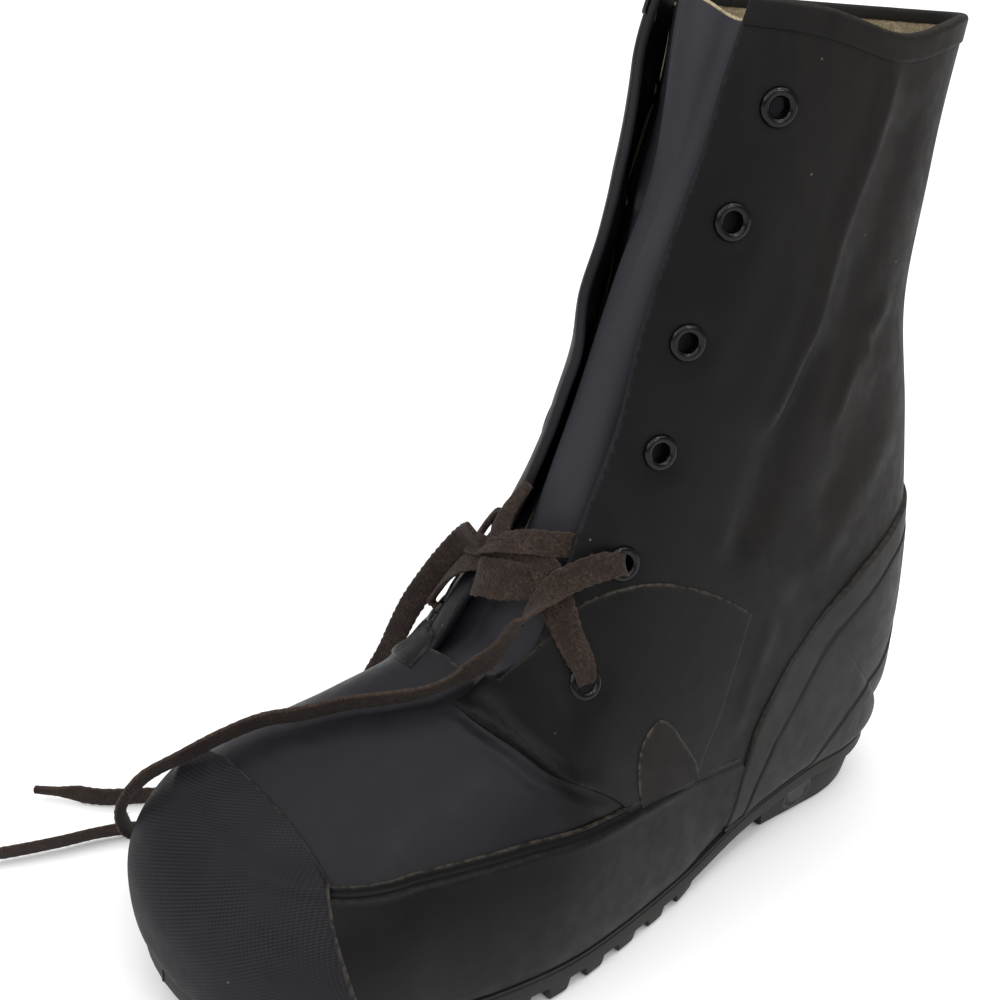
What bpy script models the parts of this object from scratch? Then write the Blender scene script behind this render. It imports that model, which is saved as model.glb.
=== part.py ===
"""Left insulated rubber boot: one shoe, built from its last outwards.

Frame: metres, +Z up, floor at z = 0, toe towards -Y, outer (lateral) side towards +X.
The upper's outer form comes from one function, form(), which runs a section through each
row of SECTIONS.  Every other piece that follows the foot is lifted off that same form.
"""

import math

import bmesh
import bpy
import numpy as np
from mathutils import Matrix, Vector

MM = 0.001
LATERAL, MEDIAL = 1, -1

# ---- driving sizes, millimetres ---------------------------------------------------------
GAP = 0.3                # clearance between curved pieces that touch
WALL = 3.0               # rubber wall of the upper
TOE_TIP_Y = -153.0       # front of the upper
TOE_TIP_X = -8.0         # the toe swings inwards by this much
TOE_TIP_BASE = 22.0      # height of the feather line at the toe tip
TOE_ROUND = 2.25         # fullness of the toe's plan outline
HEEL_CURVE = 46.0        # length of the round end of the heel's outline
HEEL_ROUND = 2.3         # fullness of the heel's plan outline
HEEL_HALF = 39.0         # half width of the heel seat

PLATE = 8.0              # thickness of the outsole plate
SOLE_SHELF = 0.5         # how far the outsole stands out past the band above it
LUG_PITCH, LUG_LAND, LUG_DRAFT = 17.0, 10.0, 1.2
LUG_FRONT, LUG_BACK = -138.0, 22.0
TREAD_FLAT_FRONT, TREAD_FLAT_BACK = -108.0, 14.0

HEEL_TOP_HALF, HEEL_GROUND_HALF = 39.5, 36.5
HEEL_BREAST, HEEL_RAKE, HEEL_END = 76.0, 5.0, 159.0

INSOLE = 2.5             # thickness of the insole board
INSOLE_MARGIN = 6.5      # from the feather line in to the board's edge

FOXING = 2.2             # thickness of the rubber band round the foot
CAP = 1.0                # thickness of the knurled toe cap
CAP_EDGE_Y = -119.0      # back edge of the toe cap
CAP_SIDE_STATION = 0.20  # how far short of the toe section the cap's side ends
BAND_SEAT = 0.45         # clearance of the foxing band from the upper
CAP_ON_UPPER, CAP_ON_BAND = 0.7, BAND_SEAT + FOXING + GAP    # the cap's inner face off the form
COUNTER = 2.6            # thickness of the heel counter
COUNTER_SEAT = 1.0       # its clearance from the upper, for the tighter curve at the heel

EYELET_HOLE, EYELET_BARREL, EYELET_FLANGE = 5.4, 7.0, 11.2
EYELET_LIP = 1.0

TONGUE = 2.2             # thickness of the tongue
TONGUE_FRONT, TONGUE_TOP = 1.5, 12.74    # stations of its ends
LACE_WIDTH, LACE_THICK = 9.0, 1.8
KNOT_LENGTH, KNOT_WIDTH, KNOT_HEIGHT = 20.0, 12.0, 8.0

FRAME_SHIFT = (-1.0, -4.1, 0.0)    # from the last's own lines to the middle of the boot's box

# ---- tables -----------------------------------------------------------------------------
# One row for each section through the upper.  base and top are the ends of the section in
# the side view: base on the feather line or the back seam, top on the ridge or the throat.
# top_x is where the front line lies sideways, gap_lat and gap_med how far from it the two
# flaps end, lateral and medial the widest places, widest how far up the section they lie, tuck
# how far the wall pulls in under them, full_top and full_low how full the two quarters are.
SECTION_COLUMNS = ("base_y", "base_z", "top_y", "top_z", "top_x", "gap_lat", "gap_med",
                   "lateral", "medial", "tuck", "widest", "full_top", "full_low")
SECTIONS = {
    "toe":         (-98, 19, -98, 82, -3.0, 14, 14, 55, 57, 4.0, 0.34, 2.35, 2.0),
    "ball":        (-70, 16, -72, 90, -2.5, 14, 14, 58, 56, 4.0, 0.31, 2.25, 2.0),
    "throat_base": (-42, 14, -51, 101, -1.0, 16, 13, 59, 51, 4.0, 0.29, 2.15, 2.0),
    "instep":      (-14, 13, -44, 120, 2.0, 25, 10, 56, 48, 4.0, 0.28, 2.10, 2.0),
    "waist":       (20, 14, -37, 140, 4.0, 23, 8, 51, 46, 4.5, 0.26, 2.15, 2.1),
    "shank":       (60, 21, -31, 160, 5.5, 21, 7, 48, 45, 6.0, 0.28, 2.20, 2.2),
    "heel_seat":   (105, 26, -25, 180, 6.5, 20, 6, 46, 43, 7.0, 0.32, 2.25, 2.4),
    "heel_end":    (156, 26, -19, 199, 7.0, 19, 6, 45, 43, 7.0, 0.36, 2.30, 2.7),
    "heel_cup":    (161, 58, -13, 216, 7.0, 19, 6, 47, 44, 7.0, 0.40, 2.35, 2.7),
    "ankle":       (159, 103, -7, 234, 7.0, 19, 6, 46.5, 43, 7.0, 0.44, 2.35, 2.6),
    "over_ankle":  (149, 155, 0, 252, 7.0, 19, 6, 45, 45, 7.0, 0.47, 2.35, 2.5),
    "small":       (134, 205, 6, 270, 7.0, 20, 7, 44, 44, 7.0, 0.48, 2.35, 2.4),
    "shaft":       (133, 255, 12, 289, 6.0, 21, 9, 45.5, 45, 7.0, 0.49, 2.35, 2.4),
    "collar":      (134, 305, 18, 308, 5.0, 23, 11, 48, 48, 7.0, 0.50, 2.35, 2.4),
}
SECTION_NAMES = list(SECTIONS)
THROAT_BASE = SECTION_NAMES.index("throat_base")
HEEL_SEAM = SECTION_NAMES.index("heel_end")
COLLAR = SECTION_NAMES.index("collar")
TOE = -1.0               # station of the toe tip; 0 is the first row of SECTIONS

# The inner side's flap is slack: behind its edge it is pressed back and a little outwards, by up
# to SLACK_BACK from the stations named here, and less at its very edge and at the collar.
SLACK_BACK, SLACK_SIDE, SLACK_AT_EDGE, SLACK_AT_COLLAR = 12.0, 3.6, 0.35, 0.8
SLACK_FROM, SLACK_FULL, SLACK_EASE = 2.0, 6.0, 10.5

# Height of the foxing band's top edge at a station.
FOXING_EDGE_COLUMNS = ("station", "height")
FOXING_EDGE = ((-1.0, 65), (0.0, 67), (1.5, 66), (3.0, 63), (4.0, 60), (5.0, 54), (5.6, 50))
FOXING_END = 4.95        # station where the band runs under the heel counter

# Front and upper edge of the heel counter in the side view.
COUNTER_EDGE_COLUMNS = ("y", "height")
COUNTER_EDGE = ((40, 50), (49, 53), (56, 63), (69, 85), (86, 101), (102, 115), (125, 128), (150, 136), (165, 138))
COUNTER_FRONT, COUNTER_TOP = 5.02, 9.45    # stations of its front edge and its top

# Fractions down a section: 0 on the front line, 1 on the feather line or back seam.
AT_GAP, AT_WIDEST = 0.2, 0.68

# Each pair of eyelets, lowest first: height, and distance behind the flap's edge.
EYELET_COLUMNS = ("height", "inset")
EYELETS = ((106, 23), (141, 20), (175, 18), (210, 16), (246, 16), (279, 18))

# Depth of the tongue's outer face under the closed front.
TONGUE_COLUMNS = ("place", "depth")
TONGUE_DEPTHS = ((-0.42, 4.4), (-0.36, 7.0), (-0.27, 8.0), (-0.20, 9.0), (-0.10, 10.5), (0.0, 10.0), (0.10, 8.6),
                 (0.20, 7.4), (0.27, 6.8), (0.36, 6.5), (0.42, 4.4))

# Routes of the lace, each point a station, a place and a lift off the closed front.  The
# place is 0 on the front line, positive towards the lateral side and negative to the medial.
ROUTE_COLUMNS = ("station", "place", "lift")
KNOT_PLACE = (3.85, 0.195, 1.6)
KNOT_PLACE_OVER = (3.80, 0.185, 2.2)
UPPER_BAR = ((4.40, 0.218, 2.7), (4.30, 0.14, 2.2), (4.20, 0.07, 1.4), (4.10, 0.0, 1.2), (4.0, -0.1, 1.3),
             (4.05, -0.20, 1.6))
LOWER_BAR = ((3.58, 0.13, 1.5), (3.42, 0.06, 1.2), (3.32, 0.0, 1.2), (3.2, -0.12, 1.4), (3.15, -0.21, 1.6))
KNOT_ON_ROUTE = (3.85, 0.195, 7.8)
LONG_END = ((3.3, 0.145, 8.2), (2.75, 0.15, 6.8), (2.13, 0.155, 5.9), (1.55, 0.14, 5.6), (1.1, 0.06, 5.6),
            (0.72, -0.04, 5.6), (0.35, -0.14, 5.6), (0.03, -0.21, 5.7), (-0.2, -0.26, 6.6), (-0.40, -0.315, 7.5),
            (-0.52, -0.385, 8.7), (-0.56, -0.50, 10.4), (-0.50, -0.66, 10.7))
SHORT_END = ((4.02, -0.213, 5.8), (3.9, -0.27, 5.8), (3.5, -0.34, 7.2), (2.9, -0.42, 7.8), (2.3, -0.52, 8.0),
             (1.8, -0.62, 9.2), (1.4, -0.78, 9.4))

# The rest of each end, laid on the floor: x, y and z of the lace's middle line.
LONG_END_FLOOR = ((-72, -127, 14), (-85, -121, 5.6), (-97, -128, 4.7), (-102, -148, 4.7), (-108, -170, 4.7),
                  (-115, -190, 4.7))
SHORT_END_FLOOR = ((-74, -66, 8), (-88, -82, 4.8), (-102, -100, 4.7), (-111, -113, 4.7), (-118, -126, 4.7),
                   (-129, -137, 4.7), (-139, -148, 4.7))


def smooth_rows(station):
    """Every column of SECTIONS at the given stations, by a Catmull-Rom curve through the rows."""
    rows = np.array(list(SECTIONS.values()), float)
    before = rows[1].copy()
    before[:4] = 2 * rows[0, :4] - rows[1, :4]
    after = 2 * rows[-1] - rows[-2]
    rows = np.vstack((before, rows, after))
    station = np.asarray(station, float)
    index = np.clip(np.floor(station).astype(int), 0, len(SECTIONS) - 2)
    t = (station - index)[..., None]
    a, b, c, d = rows[index], rows[index + 1], rows[index + 2], rows[index + 3]
    value = 0.5 * (2 * b + (c - a) * t + (2 * a - 5 * b + 4 * c - d) * t ** 2
                   + (3 * b - 3 * c + d - a) * t ** 3)
    level = SECTION_COLUMNS.index("base_z")
    value[..., level] = np.maximum(value[..., level], np.minimum(b, c)[..., level])
    return dict(zip(SECTION_COLUMNS, np.moveaxis(value, -1, 0)))


def superellipse_end(distance, length, half_width, fullness):
    """Half width of a round end, `distance` along its `length` towards the tip."""
    share = np.clip(distance / length, 0, 1)
    return half_width * (1 - share ** fullness) ** (1 / fullness)


def form(side, station, fraction):
    """Points of the upper's outer form, in millimetres, on one side of the boot."""
    station, fraction = np.broadcast_arrays(np.asarray(station, float), np.asarray(fraction, float))
    row = smooth_rows(np.maximum(station, 0))
    widest, gap = ((row["lateral"], row["gap_lat"]) if side == LATERAL else (row["medial"], row["gap_med"]))
    heel_end_y = SECTIONS["heel_end"][0]
    open_edge = np.minimum(widest - row["tuck"],
                           superellipse_end(row["base_y"] - heel_end_y + HEEL_CURVE, HEEL_CURVE,
                                            np.maximum(HEEL_HALF, widest - row["tuck"]), HEEL_ROUND))
    edge = np.where(station >= HEEL_SEAM, 0.0, open_edge)
    lift_y, lift_z = row["top_y"] - row["base_y"], row["top_z"] - row["base_z"]
    wide_y = row["base_y"] + lift_y * row["widest"]
    wide_z = row["base_z"] + lift_z * row["widest"]

    top = np.stack((row["top_x"], row["top_y"], row["top_z"]), -1)
    base = np.stack((side * edge, row["base_y"], row["base_z"]), -1)
    wide = np.stack((side * widest, wide_y, wide_z), -1)
    front_core = np.stack((row["top_x"], wide_y, wide_z), -1)

    # Ahead of the first section the planes turn about an upright axis through the toe.
    turn = np.clip(-station, 0, 1) * math.pi / 2
    reach = SECTIONS["toe"][2] - TOE_TIP_Y
    swing = (TOE_TIP_X - row["top_x"]) * np.sin(turn) ** 1.6 + row["top_x"]
    out_x = (side * widest - row["top_x"]) * np.cos(turn) ** (2 / TOE_ROUND)
    out_y = -reach * np.sin(turn) ** (2 / TOE_ROUND)
    keep = 1 - row["tuck"] / np.hypot(out_x, out_y)
    toe_base_z = row["base_z"] + (TOE_TIP_BASE - row["base_z"]) * np.sin(turn) ** 2
    names = ("toe", "ball")
    ridge_slope = ((SECTIONS[names[1]][3] - SECTIONS[names[0]][3])
                   / (SECTIONS[names[1]][2] - SECTIONS[names[0]][2]))
    toe = (station < 0)[..., None]
    top_y = SECTIONS["toe"][2]
    wide = np.where(toe, np.stack((swing + out_x, top_y + out_y, wide_z), -1), wide)
    base = np.where(toe, np.stack((swing + out_x * keep, top_y + out_y * keep, toe_base_z), -1), base)
    front_core = np.where(toe, np.stack((row["top_x"], np.full_like(turn, top_y),
                                         wide_z + ridge_slope * reach * np.sin(turn)), -1), front_core)
    low_core = base.copy()
    low_core[..., 1:] = wide[..., 1:]
    low_core = np.where(toe, np.stack((base[..., 0], base[..., 1], wide[..., 2]), -1), low_core)

    across = np.abs(side * widest - row["top_x"])
    gap_angle = np.arccos(np.clip(gap / across, 0.02, 0.98) ** (row["full_top"] / 2))
    angle = np.where(fraction <= AT_GAP,
                     math.pi / 2 + (gap_angle - math.pi / 2) * fraction / AT_GAP,
                     gap_angle * (1 - (fraction - AT_GAP) / (AT_WIDEST - AT_GAP)))
    angle = np.clip(angle, 0, math.pi / 2)
    out = (np.cos(angle) ** (2 / row["full_top"]))[..., None]
    up = (np.sin(angle) ** (2 / row["full_top"]))[..., None]
    upper_part = front_core + (wide - front_core) * out + (top - front_core) * up

    sweep = np.clip((fraction - AT_WIDEST) / (1 - AT_WIDEST), 0, 1) * math.pi / 2
    out = (np.maximum(np.cos(sweep), 0) ** (2 / row["full_low"]))[..., None]
    down = (np.sin(sweep) ** (2 / row["full_low"]))[..., None]
    lower_part = low_core + (wide - low_core) * out + (base - low_core) * down
    points = np.where((fraction <= AT_WIDEST)[..., None], upper_part, lower_part)
    return points + slack(station, fraction) if side == MEDIAL else points


def smooth_step(low, high, value):
    t = np.clip((value - low) / (high - low), 0, 1)
    return t * t * (3 - 2 * t)


def slack(station, fraction):
    """How far the slack inner flap lies from the closed form."""
    up = smooth_step(SLACK_FROM, SLACK_FULL, station) * (1 - (1 - SLACK_AT_COLLAR) * smooth_step(SLACK_EASE, COLLAR,
                                                                                              station))
    across = (SLACK_AT_EDGE * smooth_step(0.0, AT_GAP, fraction)
              + (1 - SLACK_AT_EDGE) * smooth_step(AT_GAP - 0.02, AT_GAP + 0.11, fraction))
    share = up * across * (1 - smooth_step(AT_GAP + 0.14, AT_WIDEST - 0.06, fraction))
    return np.stack((SLACK_SIDE * share, SLACK_BACK * share, 0 * share), -1)


def side_normals(side, station, fraction):
    """Outward normals of form() from small steps along and down it."""
    step = 0.004
    before, after = np.maximum(station - step, TOE), np.minimum(station + step, COLLAR)
    inside = fraction.clip(0.002, 0.998)
    above, below = np.maximum(fraction - step, 0.002), np.minimum(fraction + step, 0.998)
    along = form(side, after, inside) - form(side, before, inside)
    down = form(side, station, below) - form(side, station, above)
    normal = np.cross(down, along) * side
    return normal / np.maximum(np.linalg.norm(normal, axis=-1, keepdims=True), 1e-9)


def normals(side, station, fraction):
    """Outward unit normals of form(), shared by the two sides at the front line and back seam."""
    station, fraction = np.broadcast_arrays(np.asarray(station, float), np.asarray(fraction, float))
    own = side_normals(side, station, fraction)
    shared = own + side_normals(-side, station, fraction)
    shared = shared / np.maximum(np.linalg.norm(shared, axis=-1, keepdims=True), 1e-9)
    on_seam = ((station >= HEEL_SEAM) & (fraction >= 1)) | (fraction <= 0)
    return np.where(on_seam[..., None], shared, own)


def lifted(side, station, fraction, lift):
    """form() moved outwards by `lift` millimetres along its normals."""
    lift = np.asarray(lift, float)
    return form(side, station, fraction) + normals(side, station, fraction) * lift[..., None]


def fraction_where(side, station, axis, value, low=AT_GAP, high=1.0):
    """The fraction down the section at `station` where the form's coordinate equals `value`."""
    for _ in range(30):
        middle = (low + high) / 2
        here = form(side, station, middle)[axis]
        if (here > value) == (form(side, station, low)[axis] > value):
            low = middle
        else:
            high = middle
    return (low + high) / 2


def foot_of(side, station, lift):
    """The fraction at which a skin lifted off the form comes down to the feather line's height."""
    if station >= HEEL_SEAM:
        return 1.0
    floor_z = float(form(side, station, 1.0)[2])
    low, high = AT_WIDEST, 1.0
    for _ in range(18):
        middle = (low + high) / 2
        if lifted(side, station, middle, lift)[2] > floor_z:
            low = middle
        else:
            high = middle
    return low


def interpolate(table, value):
    """Second column of a two-column table where the first column is `value`."""
    return float(np.interp(value, [row[0] for row in table], [row[1] for row in table]))


def smooth_route(points, count):
    """A Catmull-Rom curve through points, as `count` + 1 points spread evenly over them."""
    points = np.array(points, float)
    points = np.vstack((2 * points[0] - points[1], points, 2 * points[-1] - points[-2]))
    value = np.linspace(0, len(points) - 3, count + 1)
    index = np.clip(value.astype(int), 0, len(points) - 4)
    t = (value - index)[:, None]
    a, b, c, d = (points[index + k] for k in range(4))
    return 0.5 * (2 * b + (c - a) * t + (2 * a - 5 * b + 4 * c - d) * t ** 2 + (3 * b - 3 * c + d - a) * t ** 3)


def off_front(station, place, lift):
    """A point off the closed front, at a signed place across it."""
    return lifted(LATERAL if place >= 0 else MEDIAL, station, abs(place), lift)


def front_normal(station, place):
    return normals(LATERAL if place >= 0 else MEDIAL, station, abs(place))


# ---- making objects ---------------------------------------------------------------------
def clear_scene():
    for item in list(bpy.data.objects):
        bpy.data.objects.remove(item, do_unlink=True)


def new_collection(name):
    collection = bpy.data.collections.new(name)
    bpy.context.scene.collection.children.link(collection)
    return collection


def finish(name, colour, roughness, metallic=0.0):
    """A Principled material."""
    material = bpy.data.materials.new(name)
    material.use_nodes = True
    shader = material.node_tree.nodes["Principled BSDF"]
    shader.inputs["Base Color"].default_value = (*colour, 1.0)
    shader.inputs["Roughness"].default_value = roughness
    shader.inputs["Metallic"].default_value = metallic
    return material


def add_object(name, mesh, material, collection):
    item = bpy.data.objects.new(name, mesh)
    collection.objects.link(item)
    mesh.materials.append(material)
    mesh.shade_smooth()
    mesh.set_sharp_from_angle(angle=math.radians(40))
    return item


def mesh_from_bmesh(name, bm):
    bmesh.ops.remove_doubles(bm, verts=bm.verts, dist=0.02 * MM)
    flat = [face for face in bm.faces if face.calc_area() < 1e-12]
    bmesh.ops.delete(bm, geom=flat, context="FACES_ONLY")
    bmesh.ops.recalc_face_normals(bm, faces=bm.faces)
    mesh = bpy.data.meshes.new(name)
    bm.to_mesh(mesh)
    bm.free()
    return mesh


def add_grid(bm, points, skip=None):
    """Faces over a grid of points in millimetres; skip(i, j) leaves a face out."""
    verts = [[bm.verts.new(Vector(point) * MM) for point in line] for line in points]
    for i in range(len(verts) - 1):
        for j in range(len(verts[i]) - 1):
            if skip and skip(i, j):
                continue
            bm.faces.new((verts[i][j], verts[i + 1][j], verts[i + 1][j + 1], verts[i][j + 1]))
    return verts


def shell(name, inner, outer, material, collection):
    """A closed solid between two grids of the same size."""
    bm = bmesh.new()
    low, high = add_grid(bm, inner), add_grid(bm, outer)
    rows, columns = len(low), len(low[0])
    rim = ([(i, 0) for i in range(rows)] + [(rows - 1, j) for j in range(1, columns)]
           + [(i, columns - 1) for i in range(rows - 2, -1, -1)] + [(0, j) for j in range(columns - 2, 0, -1)])
    for (i, j), (k, m) in zip(rim, rim[1:] + rim[:1]):
        bm.faces.new((low[i][j], high[i][j], high[k][m], low[k][m]))
    return add_object(name, mesh_from_bmesh(name, bm), material, collection)


def steps(start, stop, count):
    return np.linspace(start, stop, count + 1)


def both_sides(stations, fraction_of, lift_of):
    """Grid rows round the foot: lateral side from the back to the toe tip, then medial to the back."""
    lines = []
    for side, order in ((LATERAL, stations[::-1]), (MEDIAL, stations[1:])):
        for station in order:
            fractions = fraction_of(side, station)
            line = lifted(side, station, fractions, lift_of(side, station, fractions))
            line[:, 2] = np.maximum(line[:, 2], form(side, station, 1.0)[2])
            lines.append(line)
    return lines


# ---- pieces -----------------------------------------------------------------------------
def toe_stations():
    """Stations round the toe, shared by the upper, the band and the cap so that they nest."""
    return np.append(steps(TOE, -CAP_SIDE_STATION, 10), 0.0)


def upper_stations():
    """Stations of the upper's sections, closer together where it turns."""
    toe = toe_stations()
    foot = steps(0, HEEL_SEAM - 1, 11)
    heel = HEEL_SEAM - 1 + np.sin(steps(0, math.pi / 2, 5))
    shaft = steps(HEEL_SEAM, COLLAR, 8)
    return np.unique(np.round(np.concatenate((toe, foot, heel, shaft)), 5))


def upper_fractions():
    return np.unique(np.round(np.concatenate((steps(0, AT_GAP, 2), steps(AT_GAP, AT_WIDEST, 6),
                                              steps(AT_WIDEST, 1, 5))), 5))


def eyelet_stations(side):
    """Station and fraction of each eyelet: a set distance behind the flap's edge."""
    places = []
    for height, inset in EYELETS:
        station = THROAT_BASE + 0.3
        fraction = AT_GAP
        for _ in range(12):
            trial = np.linspace(AT_GAP, AT_WIDEST, 60)
            path = form(side, station, trial)
            along = np.concatenate(([0], np.cumsum(np.linalg.norm(np.diff(path, axis=0), axis=1))))
            fraction = float(np.interp(inset, along, trial))
            here = form(side, station, fraction)[2]
            ahead = form(side, station + 0.05, fraction)[2]
            station += (height - here) / max((ahead - here) / 0.05, 1.0)
            station = float(np.clip(station, THROAT_BASE, COLLAR))
        places.append((station, fraction))
    return places


def eyelet_matrix(side, station, fraction, lift):
    """Placement with +Z along the wall's outward normal."""
    normal = Vector(normals(side, station, fraction))
    point = Vector(form(side, station, fraction)) * MM + normal * lift * MM
    turn = normal.to_track_quat("Z", "Y").to_matrix().to_4x4()
    return Matrix.Translation(point) @ turn


def build_upper(material, collection, tools):
    """The hollow rubber wall, open at the collar, the throat and underneath."""
    stations, fractions = upper_stations(), upper_fractions()
    bm = bmesh.new()
    for side in (LATERAL, MEDIAL):
        grid = form(side, stations[:, None], fractions[None, :])
        add_grid(bm, grid, skip=lambda i, j: stations[i] >= THROAT_BASE and fractions[j] < AT_GAP)
    upper = add_object("upper", mesh_from_bmesh("upper", bm), material, collection)
    wall = upper.modifiers.new("wall", "SOLIDIFY")
    wall.thickness = WALL * MM
    wall.offset = -1
    wall.use_even_offset = False

    drill = bmesh.new()
    for side in (LATERAL, MEDIAL):
        for station, fraction in eyelet_stations(side):
            made = bmesh.ops.create_cone(drill, cap_ends=True, segments=12,
                                         radius1=(EYELET_BARREL / 2 + GAP) * MM,
                                         radius2=(EYELET_BARREL / 2 + GAP) * MM, depth=16 * MM)
            bmesh.ops.transform(drill, verts=made["verts"],
                                matrix=eyelet_matrix(side, station, fraction, -WALL / 2))
    mesh = bpy.data.meshes.new("eyelet_drill")
    drill.to_mesh(mesh)
    drill.free()
    cutter = bpy.data.objects.new("eyelet_drill", mesh)
    tools.objects.link(cutter)
    cutter.hide_render = True
    cutter.display_type = "WIRE"
    holes = upper.modifiers.new("eyelet holes", "BOOLEAN")
    holes.operation = "DIFFERENCE"
    holes.solver = "EXACT"
    holes.object = cutter
    return upper


def build_eyelets(material, collection):
    """Turned metal rings: a rolled lip outside, a barrel through the wall and a lip inside."""
    bore, barrel, lip = EYELET_HOLE / 2, EYELET_BARREL / 2, EYELET_FLANGE / 2
    seat = GAP + lip ** 2 / 90 + 0.25
    inner_seat = -WALL - seat - 0.35
    front, back = seat + EYELET_LIP, inner_seat - EYELET_LIP
    profile = ((bore, front - 0.3), (bore + 0.7, front), (lip - 0.7, front), (lip, seat), (barrel, seat),
               (barrel, inner_seat), (lip - 0.9, inner_seat), (bore, back))
    for side, word in ((LATERAL, "lateral"), (MEDIAL, "medial")):
        for number, (station, fraction) in enumerate(eyelet_stations(side), 1):
            bm = bmesh.new()
            ring = [bm.verts.new((radius * MM, 0, height * MM)) for radius, height in profile]
            edges = [bm.edges.new((a, b)) for a, b in zip(ring, ring[1:] + ring[:1])]
            bmesh.ops.spin(bm, geom=ring + edges, axis=(0, 0, 1), cent=(0, 0, 0), steps=10,
                           angle=2 * math.pi, use_merge=True)
            name = f"eyelet_{word}_{number}"
            eyelet = add_object(name, mesh_from_bmesh(name, bm), material, collection)
            eyelet.matrix_world = eyelet_matrix(side, station, fraction, 0.0)


def tread(y, land):
    """Height of the tread's ground face at y, and of the groove between lugs when land is 0."""
    row_z = feather_height(y) - PLATE
    toe_rise = max(0.0, TREAD_FLAT_FRONT - y) ** 2 / 140
    back_rise = max(0.0, y - TREAD_FLAT_BACK) ** 2 / 50
    return row_z + land * (min(toe_rise + back_rise, row_z) - row_z)


def feather_height(y):
    """Height of the feather line at y."""
    if y < SECTIONS["toe"][0]:
        reach = SECTIONS["toe"][2] - TOE_TIP_Y
        share = min((SECTIONS["toe"][0] - y) / reach, 1.0) ** TOE_ROUND
        return SECTIONS["toe"][1] + (TOE_TIP_BASE - SECTIONS["toe"][1]) * share
    stations = np.linspace(0, HEEL_SEAM, 141)
    rows = smooth_rows(stations)
    return float(np.interp(y, rows["base_y"], rows["base_z"]))


def feather_outline():
    """Lateral and medial feather line as (x, y) against y, toe to heel, for interpolation."""
    stations = np.concatenate((steps(TOE, 0, 40), steps(0, HEEL_SEAM - 1, 60)[1:],
                               HEEL_SEAM - 1 + np.sin(steps(0, math.pi / 2, 40))[1:-1]))
    return {side: form(side, stations, 1.0) for side in (LATERAL, MEDIAL)}


def sole_outline():
    """Where the band's and the heel counter's outer faces come down to the feather line's height."""
    outline = {}
    for side in (LATERAL, MEDIAL):
        stations = np.concatenate((steps(TOE, 0, 24), steps(0, HEEL_SEAM - 1, 24)[1:],
                                   HEEL_SEAM - 1 + np.sin(steps(0, math.pi / 2, 20))[1:-1]))
        line = [lifted(side, s, foot_of(side, s, BAND_SEAT + FOXING), BAND_SEAT + FOXING) for s in stations]
        outline[side] = np.array(line)
    return outline


def sole_grid(outline, stations_y, grow, height, columns=2):
    """Grid across the foot at each y: x from medial to lateral edge, z from height(y)."""
    tip_y = outline[LATERAL][0, 1]
    lines = []
    for y in stations_y:
        edge = [np.interp(max(y, tip_y), outline[side][:, 1], outline[side][:, 0]) for side in (MEDIAL, LATERAL)]
        middle, half = (edge[0] + edge[1]) / 2, (edge[1] - edge[0]) / 2
        half = max(half + grow, 0.4)
        lines.append([(middle + half * t, y, height(y)) for t in steps(-1, 1, columns)])
    return lines


def sole_rows(tip, heel):
    """Places along the foot, and whether each is on a lug's land: pairs make the lug walls."""
    rows = [(tip + 16 * (1 - math.cos(a)), 0.0) for a in steps(0, math.pi / 2, 4)]
    y = LUG_FRONT + 3
    while y < LUG_BACK:
        rows += [(y, 0.0), (y + LUG_DRAFT, 1.0), (y + LUG_LAND - LUG_DRAFT, 1.0), (y + LUG_LAND, 0.0)]
        y += LUG_PITCH
    rows += [(value, 0.0) for value in steps(y + 2, heel - HEEL_CURVE, 5)]
    rows += [(heel - HEEL_CURVE + HEEL_CURVE * math.sin(a), 0.0) for a in steps(0, math.pi / 2, 6)[1:]]
    return rows


def build_outsole(material, collection):
    """The moulded bottom: a plate under the band and the heel, with lugs across it forward."""
    outline = sole_outline()
    rows = sole_rows(outline[LATERAL][0, 1] - SOLE_SHELF, outline[LATERAL][-1, 1] + SOLE_SHELF)
    lands = dict(rows)
    places = [y for y, _ in rows]
    top = sole_grid(outline, places, SOLE_SHELF, lambda y: feather_height(y) - GAP)
    bottom = sole_grid(outline, places, SOLE_SHELF - 1.0, lambda y: tread(y, lands[y]))
    return shell("outsole", bottom, top, material, collection)


def heel_lines(half, breast, end, height):
    """Grid across the heel block: straight sides, then a round end."""
    lines = []
    straight = end - HEEL_CURVE
    places = list(steps(breast, straight, 4)) + [straight + HEEL_CURVE * math.sin(a)
                                                 for a in steps(0, math.pi / 2, 7)[1:]]
    for y in places:
        reach = max(superellipse_end(max(y - straight, 0.0), HEEL_CURVE, half, HEEL_ROUND), 0.5)
        lines.append([(reach * t, y, height(y)) for t in steps(-1, 1, 2)])
    return lines


def build_heel(material, collection):
    """The heel block, wider at the top, raked at the breast."""
    top = heel_lines(HEEL_TOP_HALF, HEEL_BREAST, HEEL_END, lambda y: feather_height(y) - PLATE - 2 * GAP)
    ground = heel_lines(HEEL_GROUND_HALF, HEEL_BREAST + HEEL_RAKE, HEEL_END - 2.0, lambda y: 0.0)
    return shell("heel", ground, top, material, collection)


def build_insole(material, collection):
    """The board inside, clear of the upper's turned-in margin."""
    outline = feather_outline()
    tip, heel = TOE_TIP_Y + 4.0, SECTIONS["heel_end"][0]
    inset = -INSOLE_MARGIN
    places = ([tip - inset + 18 * (1 - math.cos(a)) for a in steps(0, math.pi / 2, 5)]
              + list(steps(-120, heel - HEEL_CURVE, 12))
              + [heel - HEEL_CURVE + (HEEL_CURVE + inset) * math.sin(a) for a in steps(0, math.pi / 2, 5)[1:]])
    low = sole_grid(outline, places, inset, feather_height)
    high = sole_grid(outline, places, inset, lambda y: feather_height(y) + INSOLE)
    return shell("insole", low, high, material, collection)


BAND_SHARES = np.concatenate(([0], steps(0.06, 1, 7)))


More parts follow.
